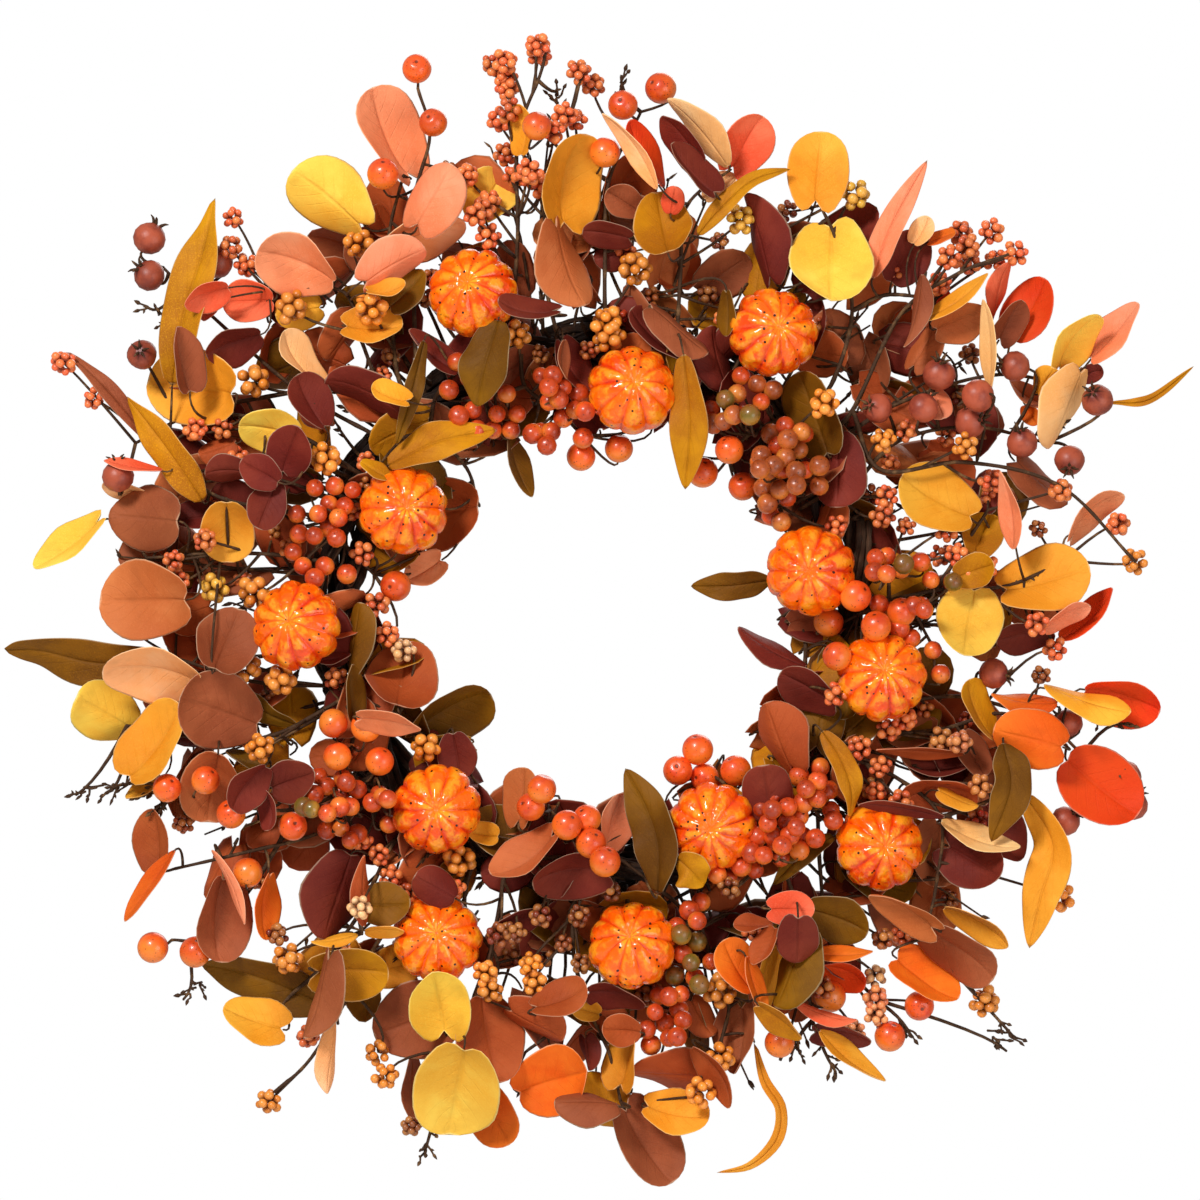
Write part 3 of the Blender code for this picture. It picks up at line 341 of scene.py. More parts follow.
class Finish:
    """A material: its tree, its Principled shader and the ways to read a surface."""

    def __init__(self, name, roughness, **constants):
        self.material = bpy.data.materials.new(name)
        self.material.use_nodes = True
        tree = self.material.node_tree
        self.shader = tree.nodes["Principled BSDF"]
        self.wire = Wire(tree)
        self.shader.inputs["Roughness"].default_value = roughness
        for label, value in constants.items():
            self.shader.inputs[label.replace("_", " ")].default_value = value

    def place(self):
        return self.wire.add("ShaderNodeTexCoord", output="Object")

    def attribute(self, name, output="Color"):
        return self.wire.add("ShaderNodeAttribute", {"attribute_name": name}, (), output)

    def tints(self):
        """The body colour and the second tone that the mesh carries."""
        return self.attribute("tint"), self.attribute("tone")

    def flat(self, shade):
        """One flat colour, as a node."""
        base = self.wire.add("ShaderNodeRGB")
        base.socket.default_value = flat_colour(shade)
        return base

    def cells(self, place, scale):
        """How far the middle of the nearest cell is, and a random value of that cell."""
        found = self.wire.add("ShaderNodeTexVoronoi", {"feature": "F1"},
                              {"Vector": place, "Scale": scale, "Randomness": 1.0})
        return found, found.output("Color").parts()[0]

    def paint(self, socket, wire):
        self.wire.tree.links.new(wire.socket, self.shader.inputs[socket])

    def bump(self, height, distance, strength=1.0):
        inputs = {"Strength": strength, "Distance": distance, "Height": height}
        self.paint("Normal", self.wire.add("ShaderNodeBump", (), inputs))


def flat_colour(shade):
    return (*shade, 1.0)


def colours():
    return bpy.context.scene.wreath_colours


def sizes():
    return bpy.context.scene.wreath_sizes


# ---------------------------------------------------------------- finishes

def bark_finish():
    """Weathered vine bark: dark, with pale streaks that run along each twig."""
    finish = Finish("vine bark", 0.75, Specular_IOR_Level=0.3)
    along = finish.attribute("along", "Fac")
    turn = finish.attribute("turn", "Fac") * TAU
    number = finish.attribute("twig", "Fac")
    round_it = finish.wire.joined(turn.math("COSINE", turn), turn.math("SINE", turn) + number * 3.7,
                                  along * 45.0)
    fibres = finish.wire.noise(round_it, 2.6, 5.0, 0.65)
    patches = finish.wire.noise(finish.place(), 55.0, 3.0)
    streaks = fibres.ramp(0.54, 0.72) * patches.ramp(0.42, 0.62)
    base = finish.flat(colours().bark)
    warm = base.to(flat_colour(linear("5A3A24")), patches.ramp(0.45, 0.75))
    finish.paint("Base Color", warm.to(flat_colour(colours().bark_light), streaks))
    finish.bump(fibres + patches * 0.5, 0.0012)
    return finish.material


def wrap_finish():
    """Brown paper wrapped round wire, rubbed lighter here and there."""
    finish = Finish("stem wrap", 0.7, Specular_IOR_Level=0.3)
    place = finish.place()
    worn = finish.wire.noise(place, 120.0, 4.0, 0.6)
    wrap = finish.wire.noise(place, 900.0, 2.0)
    base = finish.flat(colours().wrap)
    finish.paint("Base Color", base.to(flat_colour(colours().wrap_light), worn.ramp(0.5, 0.75)))
    finish.bump(wrap + worn, 0.0006)
    return finish.material


def lacquer_finish():
    """Glossy pumpkin lacquer with dark specks: redder in cloudy patches, with painted shade that reddens
    the grooves and a painted highlight that yellows the rib crests and the crown.
    """
    finish = Finish("pumpkin lacquer", 0.2, Specular_IOR_Level=0.12, Coat_Weight=0.8,
                    Coat_Roughness=0.05)
    place = finish.place()
    rib = finish.attribute("rib", "Fac")
    crown = finish.attribute("crown", "Fac")
    clouds = finish.wire.noise(place, 38.0, 3.0)
    blots = finish.wire.noise(place, 140.0, 3.0, 0.6)
    base = finish.flat(colours().pumpkin)
    # painted shade in the grooves between the ribs, plus random red cloudy patches
    low = (1.0 - rib.ramp(0.1, 0.62)) * 0.8 + clouds.ramp(0.46, 0.62) * 0.7
    body = base.to(flat_colour(colours().pumpkin_painted_shade), low)
    # painted highlight on the rib crests, broken up by blots, and a softer one over the crown
    painted_highlight = rib.ramp(0.45, 1.0) * blots.ramp(0.42, 0.62) * 0.7 + (1.0 - crown.ramp(0.1, 0.5)) * 0.25
    body = body.to(flat_colour(colours().pumpkin_painted_highlight), painted_highlight)
    cells, chance = finish.cells(place, 260.0)
    dots = 1.0 - (cells + blots * 0.14).ramp(0.22, 0.28)
    chosen = chance.ramp(0.52, 0.56)
    finish.paint("Base Color", body.to(flat_colour(colours().speck), dots * chosen))
    finish.paint("Roughness", blots * 0.14 + 0.14)
    finish.bump(blots * 0.9 + clouds, 0.0024)
    return finish.material


def foam_leaf_finish(name, flock, rim_highlight):
    """Foam sheet: a soft flock, embossed veins, cloudy tones and a thin cut edge painted paler as a
    highlight.
    """
    finish = Finish(name, 0.6, Specular_IOR_Level=0.14)
    place = finish.place()
    tint, tone = finish.tints()
    length, width, _ = finish.wire.add("ShaderNodeUVMap", {"uv_map": "leaf"}).parts()
    aside = abs(width - 0.5) * 2.0
    ends = abs(length - 0.5) * 2.0
    midrib = (1.0 - aside.ramp(0.0, 0.09)) * (1.0 - length.ramp(0.75, 1.0))
    combed = (length * 7.0 - aside * 2.4) * TAU
    veins = combed.math("COSINE", combed).ramp(0.90, 1.0) * (1.0 - aside) * aside.ramp(0.04, 0.12)
    clouds = finish.wire.noise(place, 42.0, 3.0, 0.55)
    fine = finish.wire.noise(place, 1500.0, 2.0, 0.6)
    creases = finish.wire.noise(place, 240.0, 4.0, 0.7)
    body = tint.to(tone, length.ramp(0.3, 1.0) * 0.5 + clouds.ramp(0.45, 0.70) * 0.5)
    body = body.to(tone, fine.ramp(0.45, 0.75) * flock)
    dark = tint.to((0.0, 0.0, 0.0, 1.0), 0.45)
    shade = (1.0 - clouds.ramp(0.25, 0.45)) * 0.35 + (1.0 - length.ramp(0.0, 0.35)) * 0.25
    body = body.to(dark, shade + veins * 0.07 + midrib * 0.14)
    # painted highlight: a thin paler line along the cut edge, where it catches the light
    edge = aside.math("MAXIMUM", aside, ends).ramp(0.952, 0.985)
    glow = tone.to((1.0, 0.86, 0.6, 1.0), 0.35)
    finish.paint("Base Color", body.to(glow, edge * rim_highlight))
    near_rib = 1.0 - aside.ramp(0.1, 0.7)
    relief = fine * 0.10 - midrib * 0.6 - veins * 0.2 + creases * near_rib * 0.9 + clouds
    finish.bump(relief, 0.0009, 0.75)
    return finish.material


def berry_finish():
    """Painted foam berries: redder round the brown tip, yellow below, with dark specks."""
    finish = Finish("berry foam", 0.34, Specular_IOR_Level=0.4, Coat_Weight=0.4, Coat_Roughness=0.12)
    place = finish.place()
    tint, tone = finish.tints()
    pole = finish.attribute("pole", "Vector").parts()[2]
    blots = finish.wire.noise(place, 160.0, 3.0, 0.6)
    cells, chance = finish.cells(place, 620.0)
    speck = (1.0 - cells.ramp(0.16, 0.30)) * chance.ramp(0.58, 0.62)
    body = tint.to(tone, pole.ramp(0.2, 0.95) * 0.55 + blots.ramp(0.45, 0.65) * 0.4)
    glow = tint.to((1.0, 0.42, 0.04, 1.0), 0.4)
    body = body.to(glow, (1.0 - pole.ramp(-0.45, 0.3)) * 0.75)
    tip = pole.ramp(0.982, 0.993)
    body = body.to(flat_colour(colours().speck), tip * 0.8 + speck * 0.6)
    finish.paint("Base Color", body)
    finish.paint("Roughness", blots * 0.25 + 0.26)
    finish.bump(blots * 0.7 - tip * 0.8, 0.0008, 0.6)
    return finish.material


def hip_finish():
    """Rosehips: dull brick red, dusky at the crown."""
    finish = Finish("hip foam", 0.42, Specular_IOR_Level=0.4)
    place = finish.place()
    tint, tone = finish.tints()
    pole = finish.attribute("pole", "Vector").parts()[2]
    blots = finish.wire.noise(place, 90.0, 4.0, 0.6)
    body = tint.to(tone, blots.ramp(0.42, 0.66) * 0.7 + pole.ramp(0.5, 1.0) * 0.6)
    finish.paint("Base Color", body)
    finish.bump(blots, 0.001, 0.6)
    return finish.material


def bead_finish():
    """Small painted foam beads, with painted shade where they sink into the clump and a few dark flecks.
    """
    finish = Finish("bead foam", 0.38, Specular_IOR_Level=0.4, Coat_Weight=0.35, Coat_Roughness=0.2)
    place = finish.place()
    tint = finish.attribute("tint")
    blots = finish.wire.noise(place, 420.0, 2.0)
    # painted shade: the dark colour that beads turn to near the middle of their clump, also used for
    # random flecks
    rim = tint.to((0.16, 0.03, 0.004, 1.0), 0.7)
    sunk = finish.attribute("sunk", "Fac")
    ripe = tint.to((1.0, 0.45, 0.10, 1.0), finish.attribute("ripe", "Fac") * 0.42)
    finish.paint("Base Color", ripe.to(rim, sunk * 0.85 + blots.ramp(0.6, 0.85) * 0.3))
    finish.bump(blots, 0.0004, 0.5)
    return finish.material


def floor_finish():
    """A pale floor with faint clouds."""
    finish = Finish("studio floor", 0.85, Specular_IOR_Level=0.2)
    clouds = finish.wire.noise(finish.place(), 1.5, 2.0)
    base = finish.flat(colours().floor)
    finish.paint("Base Color", base.to(flat_colour(linear("EDEAE5")), clouds.ramp(0.4, 0.7)))
    return finish.material


# ---------------------------------------------------------------- Geometry Nodes trees

def start_tree(name, inputs):
    """A Geometry Nodes tree with one geometry input and these named inputs."""
    tree = bpy.data.node_groups.new(name, "GeometryNodeTree")
    tree.interface.new_socket("Geometry", in_out="INPUT", socket_type="NodeSocketGeometry")
    for label, (kind, value) in inputs.items():
        socket = tree.interface.new_socket(label, in_out="INPUT", socket_type="NodeSocket" + kind)
        socket.default_value = value
    tree.interface.new_socket("Geometry", in_out="OUTPUT", socket_type="NodeSocketGeometry")
    group = tree.nodes.new("NodeGroupInput")
    return tree, {socket.name: Wire(tree, socket) for socket in group.outputs if socket.name}


def end_tree(tree, geometry, material):
    """Realize, shade smooth, set the material and give the result out."""
    real = geometry.add("GeometryNodeRealizeInstances", (), {"Geometry": geometry})
    smooth = real.add("GeometryNodeSetShadeSmooth", (), {"Geometry": real})
    dressed = smooth.add("GeometryNodeSetMaterial", (), {"Geometry": smooth, "Material": material})
    result = tree.nodes.new("NodeGroupOutput")
    tree.links.new(dressed.socket, result.inputs["Geometry"])
    return tree


def stored(geometry, name, value, kind="FLOAT", domain="POINT"):
    settings = {"data_type": kind, "domain": domain}
    return geometry.add("GeometryNodeStoreNamedAttribute", settings,
                        {"Geometry": geometry, "Name": name, "Value": value})


def named(wire, name, kind):
    return wire.add("GeometryNodeInputNamedAttribute", {"data_type": kind}, {"Name": name})


def grown(name, mesh, tree, values):
    """Run a tree on a mesh and keep the result as a plain mesh object."""
    piece = bpy.data.objects.new(name, mesh)
    bpy.context.scene.collection.objects.link(piece)
    modifier = piece.modifiers.new("Grow", "NODES")
    modifier.node_group = tree
    for item in tree.interface.items_tree:
        if item.in_out == "INPUT" and item.name in values:
            modifier[item.identifier] = values[item.name]
    bpy.context.view_layer.update()
    evaluated = piece.evaluated_get(bpy.context.evaluated_depsgraph_get())
    result = bpy.data.meshes.new_from_object(evaluated)
    piece.modifiers.clear()
    piece.data = result
    result.name = name
    return piece


def vine_tree(material):
    """Twigs laid side by side in one vine, which winds round the ring with its fellows."""
    tree, given = start_tree("Vine of twigs", {
        "Start Turn": ("Float", 0.0), "Ring Radius": ("Float", RING_RADIUS),
        "Centre Height": ("Float", RING_CENTRE_Z), "Orbit": ("Float", VINE_ORBIT),
        "Turns": ("Float", float(VINE_TURNS)), "Twigs": ("Int", 11),
        "Twig Radius": ("Float", 0.0017), "Bundle Radius": ("Float", 0.0056),
        "Looseness": ("Float", 0.003)})
    wire = Wire(tree)
    circle = wire.add("GeometryNodeCurvePrimitiveCircle", (), {"Resolution": 260, "Radius": 1.0})
    twigs = wire.add("GeometryNodeDuplicateElements", {"domain": "SPLINE"},
                     {"Geometry": circle, "Amount": given["Twigs"]})
    index = twigs.output("Duplicate Index")
    twigs = stored(twigs, "twig", index)
    index = named(wire, "twig", "FLOAT")
    around = wire.add("GeometryNodeSplineParameter") * TAU
    sine = around.math("SINE", around)
    cosine = around.math("COSINE", around)
    wind = around * given["Turns"] + given["Start Turn"]
    own = index * GOLDEN_ANGLE + around * 3.0
    spread = ((index + 0.5) / given["Twigs"]) ** 0.5 * given["Bundle Radius"]
    seed = wire.joined(cosine * 2.2, sine * 2.2, index * 3.7 + given["Start Turn"])
    stray = wire.noise(seed, 1.6, 2.0, output="Color")
    stray = stray.vector("SUBTRACT", stray, (0.5, 0.5, 0.5))
    sway = stray.scaled(given["Looseness"] * 2.0).parts()
    out = given["Orbit"] * wind.math("COSINE", wind) + spread * own.math("COSINE", own)
    fore = given["Orbit"] * wind.math("SINE", wind) + spread * own.math("SINE", own)
    reach = given["Ring Radius"] + out + sway[0]
    place = wire.joined(sine * reach, 0.0 - fore - sway[1],
                        cosine * reach + given["Centre Height"])
    laid = wire.add("GeometryNodeSetPosition", (), {"Geometry": twigs, "Position": place})
    laid = stored(laid, "along", around * given["Ring Radius"])
    profile = wire.add("GeometryNodeCurvePrimitiveCircle", (), {"Resolution": 7, "Radius": 1.0})
    profile = stored(profile, "turn", wire.add("GeometryNodeSplineParameter"))
    knots = wire.noise(seed.scaled(9.0), 1.0, 2.0).ramp(0.3, 0.75) * 0.7 + 0.65
    bark = wire.add("GeometryNodeCurveToMesh", (), {
        "Curve": laid, "Profile Curve": profile, "Scale": given["Twig Radius"] * knots})
    return end_tree(tree, bark, material)


def berry_tree(material):
    """A berry on every point, turned to its axis, with a small dimple at its tip."""
    tree, given = start_tree("Berries", {"Segments": ("Int", 12), "Rings": ("Int", 8)})
    wire = Wire(tree)
    globe = wire.add("GeometryNodeMeshUVSphere", (),
                     {"Segments": given["Segments"], "Rings": given["Rings"], "Radius": 1.0})
    place = wire.add("GeometryNodeInputPosition")
    globe = stored(globe, "pole", place, "FLOAT_VECTOR")
    height = place.parts()[2]
    sink = (height - 0.93).math("MAXIMUM", height - 0.93, 0.0) * -1.6
    globe = wire.add("GeometryNodeSetPosition", (),
                     {"Geometry": globe, "Offset": wire.joined(0.0, 0.0, sink)})
    turned = wire.add("FunctionNodeAlignRotationToVector", {"axis": "Z"},
                      {"Vector": named(wire, "axis", "FLOAT_VECTOR")})
    berries = wire.add("GeometryNodeInstanceOnPoints", (), {
        "Points": given["Geometry"], "Instance": globe, "Rotation": turned,
        "Scale": named(wire, "radius", "FLOAT")})
    return end_tree(tree, berries, material)


def bead_tree(material):
    """A clump of twelve beads on every point, each clump turned and each bead sized by chance."""
    tree, given = start_tree("Bead clumps", {"Bead Share": ("Float", 0.5), "Seed": ("Int", 7)})
    wire = Wire(tree)
    place = wire.add("GeometryNodeInputPosition")
    middles = stored(given["Geometry"], "middle", place, "FLOAT_VECTOR")
    spin = wire.add("FunctionNodeRandomValue", {"data_type": "FLOAT_VECTOR"},
                    {0: (0.0, 0.0, 0.0), 1: (TAU, TAU, TAU), "Seed": given["Seed"]})
    shell = wire.add("GeometryNodeMeshIcoSphere", (), {"Radius": 1.0, "Subdivisions": 1})
    clumps = wire.add("GeometryNodeInstanceOnPoints", (), {
        "Points": middles, "Instance": shell, "Rotation": spin,
        "Scale": named(wire, "radius", "FLOAT")})
    spots = wire.add("GeometryNodeRealizeInstances", (), {"Geometry": clumps})
    reach = named(wire, "radius", "FLOAT")
    jitter = wire.add("FunctionNodeRandomValue", {"data_type": "FLOAT_VECTOR"},
                      {0: (-0.16, -0.16, -0.16), 1: (0.16, 0.16, 0.16), "Seed": given["Seed"]})
    spots = wire.add("GeometryNodeSetPosition", (),
                     {"Geometry": spots, "Offset": jitter.scaled(reach)})
    bead = wire.add("GeometryNodeMeshUVSphere", (), {"Segments": 9, "Rings": 6, "Radius": 1.0})
    swell = wire.add("FunctionNodeRandomValue", {"data_type": "FLOAT"},
                     {2: 0.86, 3: 1.14, "Seed": given["Seed"]}, 1)
    spots = stored(spots, "ripe", (swell - 0.86) / 0.28)
    beads = wire.add("GeometryNodeInstanceOnPoints", (), {
        "Points": spots, "Instance": bead, "Rotation": spin,
        "Scale": swell * reach * given["Bead Share"]})
    beads = beads.add("GeometryNodeRealizeInstances", (), {"Geometry": beads})
    # painted shade mask: 1 where a bead lies within its clump, 0 on the clump's outside
    out = place.vector("DISTANCE", place, named(wire, "middle", "FLOAT_VECTOR"), output=1) / reach
    return end_tree(tree, stored(beads, "sunk", 1.0 - out.ramp(0.95, 1.3)), material)


def pumpkin_tree(material):
    """A squat ribbed pumpkin, crown up: ribs, a dimple in the crown and a little unevenness."""
    tree, given = start_tree("Pumpkin", {
        "Radius": ("Float", PUMPKIN_RADIUS), "Depth": ("Float", PUMPKIN_DEPTH),
        "Ribs": ("Float", 10.0), "Groove": ("Float", 0.12), "Dimple": ("Float", 0.17),
        "Seed": ("Float", 0.0)})
    wire = Wire(tree)
    globe = wire.add("GeometryNodeMeshUVSphere", (), {"Segments": 120, "Rings": 44, "Radius": 1.0})
    x, y, z = wire.add("GeometryNodeInputPosition").parts()
    flat = (x * x + y * y) ** 0.5
    place = wire.joined(x, y, z + given["Seed"])
    uneven = wire.noise(place, 1.3, 2.0) - 0.5
    lumps = wire.noise(place, 5.5, 2.0) - 0.5
    angle = y.math("ARCTAN2", y, x) + uneven * 0.22
    wave = abs((angle * given["Ribs"] * 0.5).math("SINE", angle * given["Ribs"] * 0.5))
    rib = wave ** 0.42
    groove = given["Groove"] * (1.0 - rib) * (flat.ramp(0.1, 0.8) * 0.85 + 0.15)
    reach = (1.0 - groove) * (1.0 + uneven * 0.16 + lumps * 0.06)
    wide = given["Radius"] * reach * (flat ** 0.12).math("MINIMUM", flat ** 0.12, 1.0)
    crown = (1.0 - flat.ramp(0.0, 0.30)) * given["Dimple"]
    rise = (z.math("SIGN", z) * abs(z) ** 0.9) * (1.0 - crown) * (1.0 - groove * 1.3)
    tall = given["Depth"] * 0.5 * rise * (1.0 + lumps * 0.09)
    globe = stored(globe, "rib", rib)
    globe = stored(globe, "crown", flat)
    body = wire.add("GeometryNodeSetPosition", (),
                    {"Geometry": globe, "Position": wire.joined(x * wide, y * wide, tall)})
    return end_tree(tree, body, material)


# Pumpkins: x, z, lift of the middle, tilt of the crown sideways and upwards in degrees
PUMPKINS = (
    (-62.0, 158.5, 36.0, -10, 20), (17.5, 110.0, 38.0, 5, 15), (88.0, 138.5, 36.0, 10, 10),
    (-96.5, 50.0, 38.0, 8, 5), (-150.0, -8.0, 38.0, -15, 10), (106.5, 19.5, 38.0, -5, 0),
    (142.0, -33.5, 38.0, 5, 15), (-80.0, -99.5, 38.0, 0, 0), (57.5, -108.0, 38.0, -5, -5),
    (141.5, -118.0, 34.0, 10, 0), (-80.0, -164.0, 34.0, 0, 12), (17.5, -167.5, 34.0, -5, 20),
)


def table_rows(text):
    """Rows of a table, with commas between them: colours as words and numbers as numbers."""
    return tuple(tuple(word if word.isalpha() else float(word) for word in row.split())
                 for row in text.split(","))


def sprays(text):
    """Sprays with an empty line between them. The first word of a line says what it lists."""
    found = []
    for block in text.strip().split("\n\n"):
        spray = {}
        for line in block.splitlines():
            label, rest = line.split(maxsplit=1)
            listed = table_rows(rest)
            if label == "stems":
                listed = (listed,)
            elif label in ("blades", "bunches", "clumps"):
                listed = ((*listed[0], listed[1:]),)
            spray[label] = spray.get(label, ()) + listed
        found.append(spray)
    return tuple(found)


